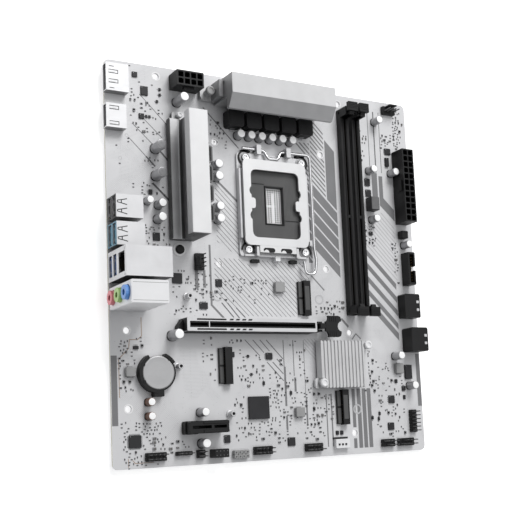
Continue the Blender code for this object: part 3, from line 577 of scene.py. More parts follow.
# Finish, and width of the soft edges in millimetres: starts of the names of the nodes that have them.
NODE_LOOKS = {
    ("white_solder_mask", 0): ("circuit_board",),
    ("contact_field_grey", 0): ("socket_body",),
    ("bright_steel", 0): ("socket_backplate", "video_port", "card_post", "long_slot_shield"),
    ("bright_steel", 0.15): ("socket_frame",),
    ("bright_steel", 0.2): ("dual_port",),
    ("bright_steel", 0.25): ("network_port",),
    ("plate_steel", 0.35): ("load_plate",),
    ("white_painted_metal", 0.35): ("power_heatsink_left",),
    ("silver_paint", 0.35): ("power_heatsink_top",),
    ("silver_paint", 0): ("chipset_heatsink",),
    ("white_plastic", 0.25): ("audio_jack_stack",),
    ("pink_jack", 0): ("audio_jack_pink",),
    ("green_jack", 0): ("audio_jack_green",),
    ("blue_jack", 0): ("audio_jack_blue",),
    ("charcoal_ferrite", 0): ("choke_top",),
    ("grey_choke", 0): ("choke_left",),
    ("chip_epoxy", 0.12): ("controller_chip",),
    ("black_plastic", 0.15): ("memory_slot", "storage_socket", "wireless_socket"),
    ("black_plastic", 0.2): ("main_power_socket", "processor_power_socket", "short_slot"),
    ("black_plastic", 0.25): ("memory_latch", "drive_port"),
    ("black_plastic", 0.3): ("long_slot_latch",),
}


def paint_cad_nodes():
    for name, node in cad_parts.items():
        looks = [look for look, starts in NODE_LOOKS.items() if name.startswith(starts)]
        finish, width = looks[0] if looks else ("black_plastic", 0)
        node.data.materials.clear()
        node.data.materials.append(MATERIALS[finish])
        if width:
            bevel = node.modifiers.new("Soft edges", "BEVEL")
            bevel.width = width * MM
            bevel.segments = 2
            bevel.limit_method = "ANGLE"
            bevel.angle_limit = math.radians(40)


def at_rim(n, u, v, h):
    """True on the cut edges of the board."""
    wide, long = ((BOARD_HIGH - BOARD_LOW) / MM)[:2]
    return abs(n.z) < 0.5 and min(u, v, wide - u, long - v) < 0.3


def at_painted_shade_side(n, u, v, h):
    """True on the faces of a rear port that look up or down the board, which get painted shade."""
    return abs(n.y) > 0.5 and u > 0.5


def at_mouth(n, u, v, h):
    """True on the face of a rear port that looks out of the case."""
    return n.x < -0.5 and u < 2


# Node, finish, and which faces get it, by their normal n and their centre on the board.
REFINISHED = (
    ("circuit_board", "laminate_edge", at_rim),
    # The rear ports' faces that look up or down the board get darker steel: painted shade.
    ("video_port_1", "painted_shade_steel", at_painted_shade_side),
    ("video_port_2", "painted_shade_steel", at_painted_shade_side),
    ("dual_port_stack_black", "painted_shade_steel", at_painted_shade_side),
    ("dual_port_stack_teal", "painted_shade_steel", at_painted_shade_side),
    ("dual_port_stack_black", "charcoal_ferrite", at_mouth),
    ("dual_port_stack_teal", "teal_plastic", at_mouth),
    # The network stack's side faces are painted near black: painted shade in the gap beside it.
    ("network_port_stack", "charcoal_ferrite", at_painted_shade_side),
    # The left heatsink's flange, stem, overhang underside, flange wall, block sides and end faces get darker
    # finishes than its white top: painted shade.
    ("power_heatsink_left", "half_shade_aluminium", lambda n, u, v, h: h < 6.5),
    ("power_heatsink_left", "grey_aluminium_and_shade", lambda n, u, v, h: 6.5 < h < 20.9 or n.z < -0.5),
    ("power_heatsink_left", "deep_shade_aluminium", lambda n, u, v, h: n.x < -0.5 and h < 6.5),
    ("power_heatsink_left", "silver_paint", lambda n, u, v, h: abs(n.x) > 0.5 and h > 20.9),
    ("power_heatsink_left", "deep_shade_aluminium", lambda n, u, v, h: abs(n.y) > 0.5),
    ("chipset_heatsink", "white_painted_metal", lambda n, u, v, h: not 137.4 < u < 170.5),
    # The top heatsink's slope, left end and end faces get darker finishes than its top: painted shade.
    ("power_heatsink_top", "half_shade_aluminium", lambda n, u, v, h: n.y < -0.3 or u < 71),
    ("power_heatsink_top", "grey_aluminium_and_shade", lambda n, u, v, h: abs(n.x) > 0.5),
)


def refinish_cad_nodes():
    """Gives another finish to chosen faces: the board's cut edges, the ports' mouths and the chipset sink's
    white ears, and painted shade on the ports' sides and the power heatsinks' faces.
    """
    for node, finish, test in REFINISHED:
        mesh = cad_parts[node].data
        mesh.materials.append(MATERIALS[finish])
        for face in mesh.polygons:
            if test(face.normal, *on_board(face.center)):
                face.material_index = len(mesh.materials) - 1


# Processor socket


def make_contacts():
    """Spring contacts in staggered rows round the socket's central opening, with the parts inside it."""
    cu, cv = centre_of("socket_body")
    contacts = Piece("socket_contacts", "grey_ferrite", "gold_contact")
    floor, half_u, half_v = 3.3, 17.6, 21.6
    for i, j in product(range(int(2 * half_u) + 1), range(int(2 * half_v) + 1)):
        u, v = cu - half_u + i, cv - half_v + j + (0.5 if i % 2 else 0)
        if abs(u - cu) > 7.2 or abs(v - cv) > 13:
            tip = [(u - 0.28, v - 0.12), (u + 0.22, v - 0.12), (u + 0.22, v + 0.12)]
            contacts.slab(tip, (floor, floor + 0.28))
    rim = Piece("socket_cavity_rim", "charcoal_ferrite")
    for side in SIDES:
        rim.bar(cu + side * 6.45, cv, (0.4, 12.6), (floor, floor + 0.7), 0.15)
        rim.bar(cu, cv + side * 12.2, (6.9, 0.4), (floor, floor + 0.7), 0.15)
    rim.ribbon([(cu - 18, cv - 13.6), (cu - 6.9, cv - 13.6)], 0.35, (floor, floor + 0.4))
    rim.ribbon([(cu + 6.9, cv + 9.4), (cu + 18, cv + 9.4)], 0.35, (floor, floor + 0.4))
    parts = Piece("cavity_parts", "charcoal_ferrite")
    for i, j in product(range(7), range(17)):
        if not (i == 3 and j > 1 or j == 8 and i < 5):
            parts.bar(cu + (i - 3) * 1.62, cv + (j - 8) * 1.3, (0.4, 0.28), (1.52, 1.95), 0.05)
    Piece("cavity_floor", "white_painted_metal", "board_white").bar(cu, cv, (5.9, 11.6), (1.5, 1.54))


def make_screws():
    """Domed screws with six-lobed recesses, a grey washer under each, and their bosses below."""
    rings = Piece("screw_washers", "grey_aluminium_and_shade", "bright_steel")
    bosses = Piece("backplate_bosses", "lever_wire")
    low = span("socket_backplate")[2][0]
    for number in range(1, 5):
        name = f"socket_screw_{number}"
        u, v, (foot, top) = span(name)
        at, radius = (middle(u), middle(v)), (u[1] - u[0]) / 2
        profile = [(radius, foot), (radius, foot + 0.35), (radius * 0.82, top), (1.35, top),
                   (1.2, top - 0.08), (1.1, top - 0.75), (0.2, top - 0.8)]
        Piece(f"{name}_head", "lever_wire", node=name).turned(at, profile, 48, lobed=range(3, 6))
        rings.turned(at, [(3.9, 0.1), (3.9, 1.95), (3.6, 2.15), (2.9, 2.15)], 32)
        bosses.turned(at, [(3.2, low + 0.4), (3.2, low + 0.15), (2.6, low + 0.02), (1.1, low + 0.02)], 24)


def smooth_route(corners, radius):
    """A route of (u, v, h) corners with each inner one rounded."""
    steps = 6
    points = [Vector(corners[0])]
    for before, corner, after in zip(corners, corners[1:], corners[2:]):
        before, corner, after = Vector(before), Vector(corner), Vector(after)
        back, on = (before - corner).normalized(), (after - corner).normalized()
        reach = radius / math.tan(back.angle(on) / 2)
        reach = min(reach, (before - corner).length / 2, (after - corner).length / 2)
        for step in range(steps + 1):
            share = step / steps
            points.append((corner + back * reach * (1 - share)).lerp(corner + on * reach * share, share))
    return [*points, Vector(corners[-1])]


def make_lever():
    """The load lever's wire, with a crank over the plate and a finger loop."""
    (left, _), (top, bottom), _ = span("load_lever")
    axis_v, axis_h, arm = top + 1.05, 3.4, 138.4
    crank_v, loop_v, loop_h = axis_v + 5.4, bottom - 1.05, axis_h + 1
    corners = [
        (left, axis_v, axis_h), (104.2, axis_v, axis_h), (106.4, crank_v, loop_h), (114.2, crank_v, loop_h),
        (116.4, axis_v, axis_h), (arm, axis_v, axis_h), (arm, 109, axis_h + 0.4),
        (arm + 1, 117, axis_h + 0.8), (arm - 0.4, loop_v, loop_h), (arm - 7.6, loop_v, loop_h),
        (arm - 8.4, 118.2, loop_h),
    ]
    lever = Piece("load_lever_wire", "lever_wire", body="load_lever", node="load_lever")
    lever.wire(smooth_route(corners, 3.4), 1, 16)


def make_socket_trim():
    """Insulator edges under the frame, black arcs as painted shadow round the screws, the frame's tongue, the
    plate's hinge apron and dark ovals as painted shade in its hinge gaps.
    """
    insulator_and_shadow = Piece("socket_insulator_and_shadow_arcs", "black_plastic")
    for u, v in (((92.7, 98.5), (118, 120.2)), ((120.6, 126), (117.3, 119.7)), ((98, 104), (45.6, 48.6)),
                 ((117.5, 124), (45.8, 48.6)), ((88.6, 95), (47, 48.6)), ((128.5, 135), (46.4, 48.6))):
        insulator_and_shadow.round_block(u, v, (0.1, 2.6), 0.6)
    # Black arcs round the screws: painted shadow of the plate's corners on the frame.
    cu, cv = centre_of("socket_body")
    for number in range(1, 5):
        u, v = centre_of(f"socket_screw_{number}")
        if v > cv:
            start, end = (175, 390) if u < cu else (190, 370)
        else:
            start, end = (90, 300) if u < cu else (-100, 80)
        insulator_and_shadow.slab(arc(u, v, 4.9, start, end, 14) + arc(u, v, 3.95, end, start, 14), (1, 2.6))
    Piece("socket_tongue", "white_plastic").round_block(around(111.2, 1.8), (115.3, 118.8), (0.1, 3.8), 0.6)
    apron = Piece("load_plate_apron", "plate_steel", body="load_plate")
    apron.block((97.1, 123.6), (108.9, 114.1), (6.1, 6.4), 0.1)
    # Dark ovals on the plate's hinge: painted shade in the gaps between its arms and the frame.
    gap_shade = Piece("load_plate_gap_shade", "black_plastic", body="load_plate")
    for u in (103.8, 116.3):
        gap_shade.slab(rounded(around(u, 4.2), (111, 114), 1.5), (6.3, 6.42))
        apron.slab(arc(u - 2, 114.05, 1.8, 180, 360, 12), (6.3, 6.45))


# Heatsinks


def make_spring_pins():
    """Push pins with springs under their heads."""
    springs = Piece("pin_springs", "bright_steel")
    turns, steps, foot = 4.5, 14, 4.2
    for name in ("heatsink_pin_top", "heatsink_pin_left", "chipset_pin_1", "chipset_pin_2"):
        u, v, (low, high) = span(name)
        cu, cv, radius = middle(u), middle(v), (u[1] - u[0]) / 2
        stem = radius * 0.52
        finish = "grey_ferrite" if name == "heatsink_pin_top" else "white_plastic"
        pin = Piece(f"{name}_body", finish, "white_plastic", node=name)
        pin.turned((cu, cv), [(stem * 0.6, low), (stem, low + 1.2), (stem, high - 2.2), (radius, high - 2),
                              (radius, high - 0.6), (radius * 0.82, high - 0.05), (radius * 0.55, high),
                              (radius * 0.5, high - 0.5), (0.1, high - 0.5)], 28)
        coil, reach = [], stem + 0.45
        for i in range(int(turns * steps) + 1):
            angle, rise = 2 * math.pi * i / steps, (high - 2.4 - foot) * i / (turns * steps)
            coil.append((cu + reach * math.cos(angle), cv + reach * math.sin(angle), foot + rise))
        springs.wire(coil, 0.22, 6)


def make_power_stages():
    """Transistors and thermal pads between the power heatsinks and the board."""
    pads = Piece("thermal_pads", "grey_ferrite")
    (u0, u1), (v0, _), (top_low, _) = span("power_heatsink_top")
    (left_u, _), (left_v0, left_v1), (left_low, _) = span("power_heatsink_left")
    for u, v, low, upright in (((u0 + 13, u1 - 2), (v0 + 3, v0 + 12), top_low, False),
                               ((left_u + 8, left_u + 15), (left_v0 + 6, left_v1 - 2), left_low, True)):
        pads.block(u, v, (1, low + 0.02))
        start, end = v if upright else u
        count = int((end - start) / 8.2)
        for i in range(count):
            along = start + (i + 0.5) * (end - start) / count
            centre = (middle(u), along) if upright else (along, middle(v))
            chip(*centre, (5, 6), height=1, dimple=False)


def make_heatsink_trim():
    """The left heatsink's lid, a painted highlight strip and painted shade strips on its flange, the top
    one's bracket, and the chipset sink's fin roots.
    """
    (u0, u1), (v0, v1), (_, high) = span("power_heatsink_left")
    lid = Piece("left_heatsink_lid", "white_painted_metal")
    lid.round_block((u1 - 11.95, u1 + 0.05), (v0 + 5.1, v1 + 0.05), (high - 0.6, high + 0.25), 0.3, 0.2)
    along = v0 + 5.6, v1 - 0.4
    # A white strip on the flange edge is a painted highlight; dark strips under the overhang and on the
    # flange's left edge are painted shade.
    Piece("left_heatsink_painted_highlight", "white_painted_metal").block((43.7, 44.3), along, (5.9, 6.5), 0.1)
    shade_strip = Piece("left_heatsink_painted_shade", "contact_field_grey")
    shade_strip.block((44.6, 46.3), along, (5.9, 6.05))
    shade_strip.block((u0 - 0.03, u0 + 0.5), along, (5.2, 6.06))
    (u0, u1), (v0, v1), _ = span("power_heatsink_top")
    bracket = Piece("top_heatsink_bracket", "grey_aluminium_and_shade")
    bracket.round_block((u0 + 7.4, u0 + 10.6), (v0 + 1.2, v0 + 12.4), (4, 16), 0.5, 0.3)
    Piece("chipset_fin_roots", "silver_paint").block((137.6, 170.3), (170.3, 200.2), (3, 7.1), 0.2)


def make_choke_trim():
    """A pressed lid with a joint line, and copper terminals on both sides."""
    lids = Piece("choke_lids", "charcoal_ferrite", "dark_ferrite")
    terminals = Piece("choke_terminals", "tin")
    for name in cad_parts:
        if not name.startswith("choke"):
            continue
        u, v, (_, high) = span(name)
        lids.round_block(inset(u, 0.9), inset(v, 0.9), (high - 0.1, high + 0.16), 0.8, 0.12)
        upright, half = name.startswith("choke_top"), (u[1] - u[0]) / 2
        for side in SIDES:
            route = []
            for out, h in ((0, 3.2), (0.15, 0.3), (1.3, 0.1)):
                step_u, step_v = swapped((side * (half + out), 0), upright)
                route.append((middle(u) + step_u, middle(v) + step_v, h))
            terminals.wire(route, (3.2, 0.2))


# Sockets and ports


def make_power_pins():
    """Pins standing in the cells of the power sockets, and raised corners on their rims."""
    pins, rims = Piece("power_pins", "tin"), Piece("power_rims", "black_plastic")
    cell, latch, near, far = 4.2, 1.5, 0.95, 1.72
    for node, columns, rows, shift in (("main_power_socket", 2, 12, (latch, 0)),
                                       ("processor_power_socket", 4, 2, (0, -latch))):
        cu, cv = centre_of(node)
        top = span(node)[2][1] - 0.25
        for i, j in product(range(columns), range(rows)):
            u = cu + shift[0] / 2 + (i - (columns - 1) / 2) * cell
            v = cv + shift[1] / 2 + (j - (rows - 1) / 2) * cell
            pins.bar(u, v, 0.4, (3.4, 6.4), 0.3)
            joint_below(u, v)
            for a, b in CORNERS if (i + j) % 2 else ():
                corner = ((far, far), (near, far), (far, near))
                rims.slab([(u + a * out_u, v + b * out_v) for out_u, out_v in corner], (3.5, top))


def make_memory_trim():
    """Gold contacts, the key, ribs and centre line of the memory slots, and the latches' grips."""
    contacts, ribs = Piece("memory_contacts", "gold_plate"), Piece("memory_ribs", "black_plastic")
    body_top, count = 5.2, 72
    for letter in "ab":
        u, v, _ = span(f"memory_slot_{letter}")
        centre, (start, end) = middle(u), inset(v, 8.5)
        key = start + (end - start) * 0.53
        ribs.bar(centre, key, (0.74, 1), (1.7, body_top - 0.05), 0.1)
        for i, side in product(range(count), SIDES):
            along = start + (end - start) * (i + 0.5) / count
            if abs(along - key) >= 1.6:
                contacts.bar(centre + side * 0.62, along, (0.12, 0.26), (1.8, 3), 0.05)
                ribs.bar(centre + side * 2.75, along, (0.45, 0.3), (0.6, body_top + 0.04), 0.03)
        for side in SIDES:
            line = around(centre + side * 1.35, 0.22)
            ribs.block(line, (start - 1.5, end + 1.5), (body_top - 0.1, body_top + 0.35), 0.1)
            wall = around(centre + side * 2.68, 0.42)
            for end_v in inset(v, 2.8):
                ribs.round_block(wall, around(end_v, 2.1), (body_top, 12.75), 0.3)
        for along in (19, 50, 82, 113, 145):
            joint_below(centre, along)
        for end, outward in (("top", -1), ("bottom", 1)):
            body = f"memory_latch_{letter}_{end}"
            u, v, (_, high) = span(body)
            grip = Piece(f"{body}_grip", "black_plastic", body=body)
            for i in range(4):
                at = (v[0] if outward < 0 else v[1]) - outward * (0.8 + i * 1.1)
                grip.block(inset(u, 0.5), around(at, 0.25), (high - 0.05, high + 0.22), 0.1)


CARD_KEY = (57.2, 58.9)


def make_slot_contacts(contacts, node, first, pitch, last, half, depth):
    """Two rows of contacts in an expansion slot, with a gap for the card's key."""
    u, v, (_, high) = span(node)
    count = int((last - first) / pitch) + 1
    for i, side in product(range(count), SIDES):
        at = u[0] + first + i * pitch
        if at <= u[1] - 1.8 and not CARD_KEY[0] - 0.3 < at < CARD_KEY[1] + 0.3:
            contacts.bar(at, middle(v) + side * 0.72, (half, 0.13), (3, high - depth), 0.05)


def make_slot_trim():
    """Contacts, openings and ends of the two expansion slots, a black skin as painted shade on the long
    slot's lower side, and the card latch's grip.
    """
    u, v, (_, high) = span("long_slot_shield")
    centre = middle(v)
    openings = Piece("shield_openings", "black_plastic")
    skin = high - 0.02, high + 0.03
    for row in (centre - 3, centre + 2.95):
        openings.round_block((49.9, 69.4), around(row, 0.5), skin, 0.4, 0.01)
        for at in (72.9 + i * 4.23 for i in range(4)):
            corners = ((-1.6, 0.5), (-1, -0.5), (1.5, -0.5), (0.9, 0.5))
            openings.slab([(at + a, row + b) for a, b in corners], skin)
    liner = Piece("slot_liner_and_shade_skin", "black_plastic")
    end_u = u[0] - 0.05
    corners = ((u[0] - 3.2, 3.6), (end_u, 4), (end_u, -4), (u[0] - 3.2, 0.2))
    liner.slab([(a, centre + b) for a, b in corners], (0.2, 6.5))
    liner.block((u[0] - 0.6, end_u), inset(v, 0.2), (0.3, high - 0.2), 0.1)
    # A black skin on the shield's lower side: painted shade.
    liner.block((u[0] + 1, u[1] - 0.5), (v[1] + 0.02, v[1] + 0.3), (0.3, 8.8), 0.1)
    key = Piece("slot_key", "bright_steel")
    key.bar(middle(CARD_KEY), centre, (0.35, 1.85), (high - 1.2, high - 0.1), 0.1)
    # Gold contacts with a near-black finish: painted shade deep in the slots.
    contacts = Piece("slot_contacts", "charcoal_ferrite", "gold_contact")
    make_slot_contacts(contacts, "long_slot_shield", 2.9, 1.05, 2.9 + 81 * 1.05, 0.25, 4.6)
    make_slot_contacts(contacts, "short_slot", 2.6, 1.2, 2.6 + 17 * 1.2, 0.28, 3.6)
    for i in range(24):
        joint_below(47.5 + i * 3.6, span("long_slot")[1][0] + 1.2)
    u, v, (_, high) = span("short_slot")
    liner.round_block((u[0] - 0.8, u[0] + 8), (v[0] - 0.15, v[1] + 0.3), (0.1, 5.4), 1.2)
    for side in SIDES:
        row = around(middle(v) + side * 2.55, 0.85)
        liner.block((u[0] + 8.4, u[1] + 0.1), row, (high - 0.1, high + 0.35), 0.2)
    grip = Piece("long_slot_latch_grip", "black_plastic", body="long_slot_latch")
    latch_v = centre_of("long_slot_latch")[1]
    for side, i in product(SIDES, range(4)):
        grip.bar(144.2 + i * 1.5, latch_v + side * 4.6, (0.3, 1.6), (9.3, 9.65), 0.1)


def make_card_sockets():
    """Contacts and pick-up lids of the sockets for flat cards, and their posts, with a dark disc as painted
    shade in each post's hole.
    """
    contacts = Piece("card_socket_contacts", "gold_plate")
    lids = Piece("card_socket_lids", "contact_field_grey", "black_plastic")
    for name in ("storage_socket_1", "storage_socket_2", "wireless_socket"):
        u, v, (_, high) = span(name)
        for half in ((v[0] + 0.8, middle(v) - 0.6), (middle(v) + 0.6, v[1] - 0.8)):
            lids.round_block((u[0] + 0.4, u[0] + 3.1), half, (1.4, 1.75), 0.2, 0.1)
        if name.startswith("storage"):
            lids.block((u[0] + 3.7, u[1] - 1), inset(v, 3.6), (high - 0.2, high + 0.03))
        for i in range(38):
            at = v[0] + 1.7 + i * 0.5
            if at < v[1] - 1.6:
                contacts.block((u[0] + 3.4, u[0] + 6.2), around(at, 0.12), (1.92, 2.05))
                LEGS.block((u[1] - 0.1, u[1] + 0.8), around(at, 0.12), (0.02, 0.2))
    # A dark disc in each post's hole: painted shade.
    hole_shade = Piece("card_post_hole_shade", "charcoal_ferrite")
    for number in range(1, 4):
        name = f"card_post_{number}"
        high = span(name)[2][1]
        post = Piece(f"{name}_body", "bright_steel", node=name)
        post.turned(centre_of(name), [(2.3, 0.02), (2.3, 1.3), (1.8, 1.45), (1.8, high - 0.25), (1.6, high),
                                      (1.05, high), (1, high - 1.6), (0.1, high - 1.6)], 28)
        hole_shade.turned(centre_of(name), [(1, high - 1.62), (1, high - 1.5), (0.1, high - 1.5)])


def make_stack_insides(contacts, springs, cut_shade):
    """Tongues, back walls, contacts and springs of the stacked ports, and flat dark shapes on their tops,
    painted shade for the cuts there.
    """
    for name, finish, levels in (("dual_port_stack_black", "black_plastic", (1.6, 9.2)),
                                 ("dual_port_stack_teal", "teal_plastic", (1.6, 9.2)),
                                 ("network_port_stack", "blue_plastic", (1.6, 9))):
        _, (v0, v1), (_, high) = span(name)
        centre = middle((v0, v1))
        inside = Piece(f"{name}_tongues", finish)
        for level in levels:
            inside.round_block((0.5, 12), around(centre, 5.55), (level + 2.5, level + 4.55), 0.3)
            inside.block((9.5, 11.9), around(centre, 6.1), (level + 0.06, level + 5.04))
            inside.block((1, 10), around(centre, 6.12), (level + 0.04, level + 0.3))
            for i in range(5):
                contacts.block((1.2, 9), around(centre + (i - 2) * 2, 0.4), (level + 2.42, level + 2.5))
            for side in SIDES:
                bends = ((0.4, 0.25), (5, 1), (8, 0.3))
                springs.wire([(u, centre + side * 3.2, level + h) for u, h in bends], (1.6, 0.15))
        for at in (v0 + 4.5, v0 + 10) if name.startswith("dual") else ():
            for side in SIDES:
                route = [(0.8, at + side * 0.5), (3, at + side * 0.9), (6.6, at + side * 1.75)]
                cut_shade.ribbon(route, 0.55, (high - 0.02, high + 0.015))
            for across, half in ((0.8, 0.5), (3.2, 0.9)):
                cut_shade.bar(across, at, (0.3, half), (high - 0.02, high + 0.016))


def make_video_ports(springs, cut_shade):
    """Tongues inside the video ports, and the spring tabs stamped in their tops, with flat dark shapes as
    painted shade for the cuts in the steel.
    """
    wide, near, far = 2.4, 0.8, 6.7
    high = span("video_port_1")[2][1]
    surface = high - 0.02, high + 0.015
    for at in (6.5, 19.9):
        cut_shade.block((1.2, 4.2), around(at, 0.22), surface)
    for name, places in (("video_port_1", (9.7, 15.6)), ("video_port_2", (31.9, 41.3))):
        for v in places:
            for side in SIDES:
                cut_shade.block((near, far - 0.4), around(v + side * (wide / 2 - 0.2), 0.22), surface)
            cut_shade.block((far - 0.4, far), around(v, wide / 2), surface)
            bends = ((near, 0.05), (far - 2.5, 0.05), (far - 0.9, -0.2))
            springs.wire([(u, v, high + h) for u, h in bends], (wide - 1.3, 0.16))
        across = span(name)[1]
        inside = Piece(f"{name}_tongue", "black_plastic")
        inside.round_block((0.2, 8), inset(across, 2.2), (2.45, 4.05), 0.3)
        inside.block((7.4, 7.95), inset(across, 0.75), (1.15, high - 0.75))


def make_network_jack(contacts):
    """The network opening: black liner, eight wires, and two status windows beside it."""
    centre, walls = centre_of("network_port_stack")[1], (17.65, 27.35)
    liner = Piece("network_jack_liner", "black_plastic")
    windows = Piece("network_windows", "white_plastic")
    for side in SIDES:
        liner.block((0.3, 12.9), around(centre + side * 5.65, 0.22), walls)
        liner.block((0.3, 6), around(centre + side * 4.4, 1), (17.65, 19.4))
        windows.round_block((-0.25, 0.4), around(centre + side * 7.4, 0.8), (25.4, 27.2), 0.2, 0.1)
    liner.block((12.5, 12.95), around(centre, 5.85), walls)
    liner.block((0.3, 12.6), around(centre, 5.5), (17.62, 17.75))
    for i in range(8):
        v = centre + (i - 3.5) * 1.02
        contacts.wire([(1.5, v, 26.9), (3, v, 26.6), (9.5, v, 22), (10.5, v, 22.4)], 0.18, 6)


def make_rear_ports():
    contacts, springs = Piece("port_contacts", "gold_plate"), Piece("port_springs", "bright_steel")
    # Flat dark shapes on the port tops: painted shade for the cuts in the steel.
    cut_shade = Piece("port_cut_shade", "charcoal_ferrite")
    make_stack_insides(contacts, springs, cut_shade)
    make_video_ports(springs, cut_shade)
    make_network_jack(contacts)
    # A dark plug in each jack's hole: painted shade for its depth.
    rings = Piece("jack_hole_shade", "charcoal_ferrite")
    for colour in ("pink", "green", "blue"):
        _, v, h = span(f"audio_jack_{colour}")
        profile = [(1.78, -0.5), (1.78, 2), (1, 2.2), (0.3, 2.2)]
        rings.turned((0, middle(v), middle(h)), profile, 24, lying=True)
    (u0, u1), (v0, v1), (_, high) = span("audio_jack_stack")
    # Flat grey lines on the white stack: painted shade for its grooves.
    groove_shade = Piece("audio_stack_groove_shade", "grey_ferrite", "white_plastic")
    for at in (v0 + 1.6, v1 - 1.4):
        groove_shade.block((u0 + 1, u1 - 0.6), around(at, 0.14), (high - 0.02, high + 0.015))


def make_front_sockets():
    """Contacts, windows and pins of the sockets at the front edge."""
    contacts, clips = Piece("drive_contacts", "gold_plate"), Piece("drive_windows", "bright_steel")
    for name, blades in (("drive_port_a", (3.6,)), ("drive_port_b", (2.8, 7.9))):
        (_, u1), (v0, v1), (_, high) = span(name)
        for blade, i in product(blades, range(7)):
            contacts.block((u1 - 6.6, u1 - 1.8), around(v0 + 4.6 + i * 1.15, 0.35), (blade - 0.06, blade))
        for at in (v0 + 4.6, v1 - 6.4):
            clips.round_block((u1 - 3, u1 - 0.9), (at, at + 1.8), (high - 0.02, high + 0.06), 0.2, 0.03)
    pins = Piece("front_port_pins", "gold_plate")
    cu, cv = centre_of("front_port_socket")
    for i, j in product(range(2), range(9)):
        u, v = cu + (i - 0.5) * 2, cv + (j - 4) * 2
        pins.bar(u, v, 0.25, (1.9, 6.8), 0.15)
        joint_below(u, v)


def make_battery():
    """The coin cell with its rolled rim, in an open ring that clips over its edge."""
    u, v, (low, high) = span("battery")
    cu, cv, radius = middle(u), middle(v), (u[1] - u[0]) / 2
    cell = Piece("battery_cell", "battery_steel", node="battery")
    cell.turned((cu, cv), [(radius * 0.9, low), (radius, low + 0.5), (radius, high - 0.5),
                           (radius * 0.97, high - 0.12), (radius * 0.92, high), (radius * 0.88, high - 0.05),
                           (radius * 0.5, high - 0.05)], 64)
    holder = Piece("battery_ring", "black_plastic", node="battery_holder")
    for start, end, outer, top in ((95, 170, 12, 5), (170, 238, 12.1, 5.4), (292, 330, 11.9, 5.2),
                                   (-30, 95, 10.9, 4.2)):
        outside = arc(cu, cv, outer, start, end, 16)
        holder.slab(outside + arc(cu, cv, radius + 0.12, end, start, 16), (0.1, top))
    holder.turned((cu, cv), [(radius - 0.6, 0.1), (radius - 0.6, low - 0.05), (0.5, low - 0.05)], 40)
    holder.round_block(around(cu, 3.2), (cv + radius + 0.3, cv + radius + 4), (0.1, 4.6), 0.5)
    for clip_u, clip_v in (arc(cu, cv, 10.5, angle, angle, 1)[0] for angle in (150, 208, 310)):
        holder.round_block(around(clip_u, 0.9), around(clip_v, 0.9), (3, high + 0.5), 0.4)


# Small parts

# Each row: u, v, radius, height.
WHITE_CANS = (
    *((87.2 + 7.55 * i, 38, 2.8, 6.5) for i in range(6)),
    *((71, v, 2.8, 6.5) for v in (59.1, 66.8, 86, 93.8)),
    (46, 21.5, 2.9, 13.5), (31.9, 87.6, 2.6, 8.5), (31.2, 96.4, 2.7, 9.5), (24.9, 85.8, 2.3, 6.5),
    (38.3, 166.9, 3.1, 12), (54.9, 213, 2.6, 9), (55.3, 231.5, 2.8, 8), (200.4, 179.8, 2.7, 9),
    (211.2, 200, 2.7, 8), (194.2, 15.8, 2.6, 8), (187.4, 51.4, 2.6, 8), (205.7, 51.7, 2.6, 8),
    (187.7, 85.9, 2.6, 8), (213.4, 102.4, 2.6, 8),
)
# Each row: u, v and size along u and v, then the legs, their pitch and the height where unusual.
CHIP_ROWS = (
    (13.5, 228.4, (7.4, 7.2), "lrtb", 0.5), (42.8, 131.9, (6.3, 6.3)), (30.3, 107, (4.3, 4.8)),
    (59.6, 148.2, (5.4, 3.9), "tb", 1), (70.4, 133.8, (4.2, 4.6)), (103.3, 179.3, (4.4, 4.2), "lr"),
    (25.1, 16.8, (4.5, 5.6)), (19.2, 7.3, (3.2, 3.2)), (22.9, 33, (3.2, 3.2)), (27.2, 79.8, (2.2, 3), "lr"),
    (185.8, 59.4, (4.2, 4.8), "tb"), (186.2, 67.2, (4.4, 4.4), "tb"), (204.4, 35.8, (4.6, 4.4), "lr"),
    (203.2, 43.6, (2.8, 6.2), "", 0.65, 1.6), (210.6, 190.6, (5.6, 9.6), "", 0.65, 1.6),
    (195.6, 208.9, (4.6, 5.2), "lr", 1.27), (194, 226.9, (4.8, 4.8)), (206.2, 201.7, (2.9, 2.9), "tb"),
    (151.2, 229.4, (2, 2.6)), (154.6, 229.4, (2, 2.6)), (200.2, 196.7, (1.8, 2.6), "lr"),
    (206.4, 207.7, (1.6, 2.8)), (116.8, 233.4, (5.2, 5.2)), (72.2, 229.6, (3.6, 4.8), "lr", 0.8),
    (15.5, 173.9, (3.2, 1.8), "tb", 0.9), (78.2, 178.2, (1.8, 3.2)), (186.4, 95.4, (2.6, 2.6), "lr"),
)
SIDE_LEG_CHIPS = ((26, 32.8), (28, 32.8), (35.1, 14.6), (35.1, 18.1), (33.2, 22.5), (88.5, 179.3),
                  (90.4, 190.6))
END_LEG_CHIPS = ((98.8, 196.2), (185.2, 218.1), (184.4, 221.6), (179.4, 220.7), (118, 202.8), (134.6, 213.4))


def make_cans_and_chips():
    for row in WHITE_CANS:
        can(*row)
    for v in (52.6, 69.6):
        can(31, v, 3.1, 11.5, CAN_GREY_LIDS)
    for v in (206, 214.2):
        can(22.2, v, 2.4, 6.5, sleeve=SLEEVES)
    for row in CHIP_ROWS:
        chip(*row)
    for place_at in SIDE_LEG_CHIPS:
        chip(*place_at, (1.3, 1.7), "lr", 0.9)
    for place_at in END_LEG_CHIPS:
        chip(*place_at, (1.4, 2.2), "tb", 0.9)


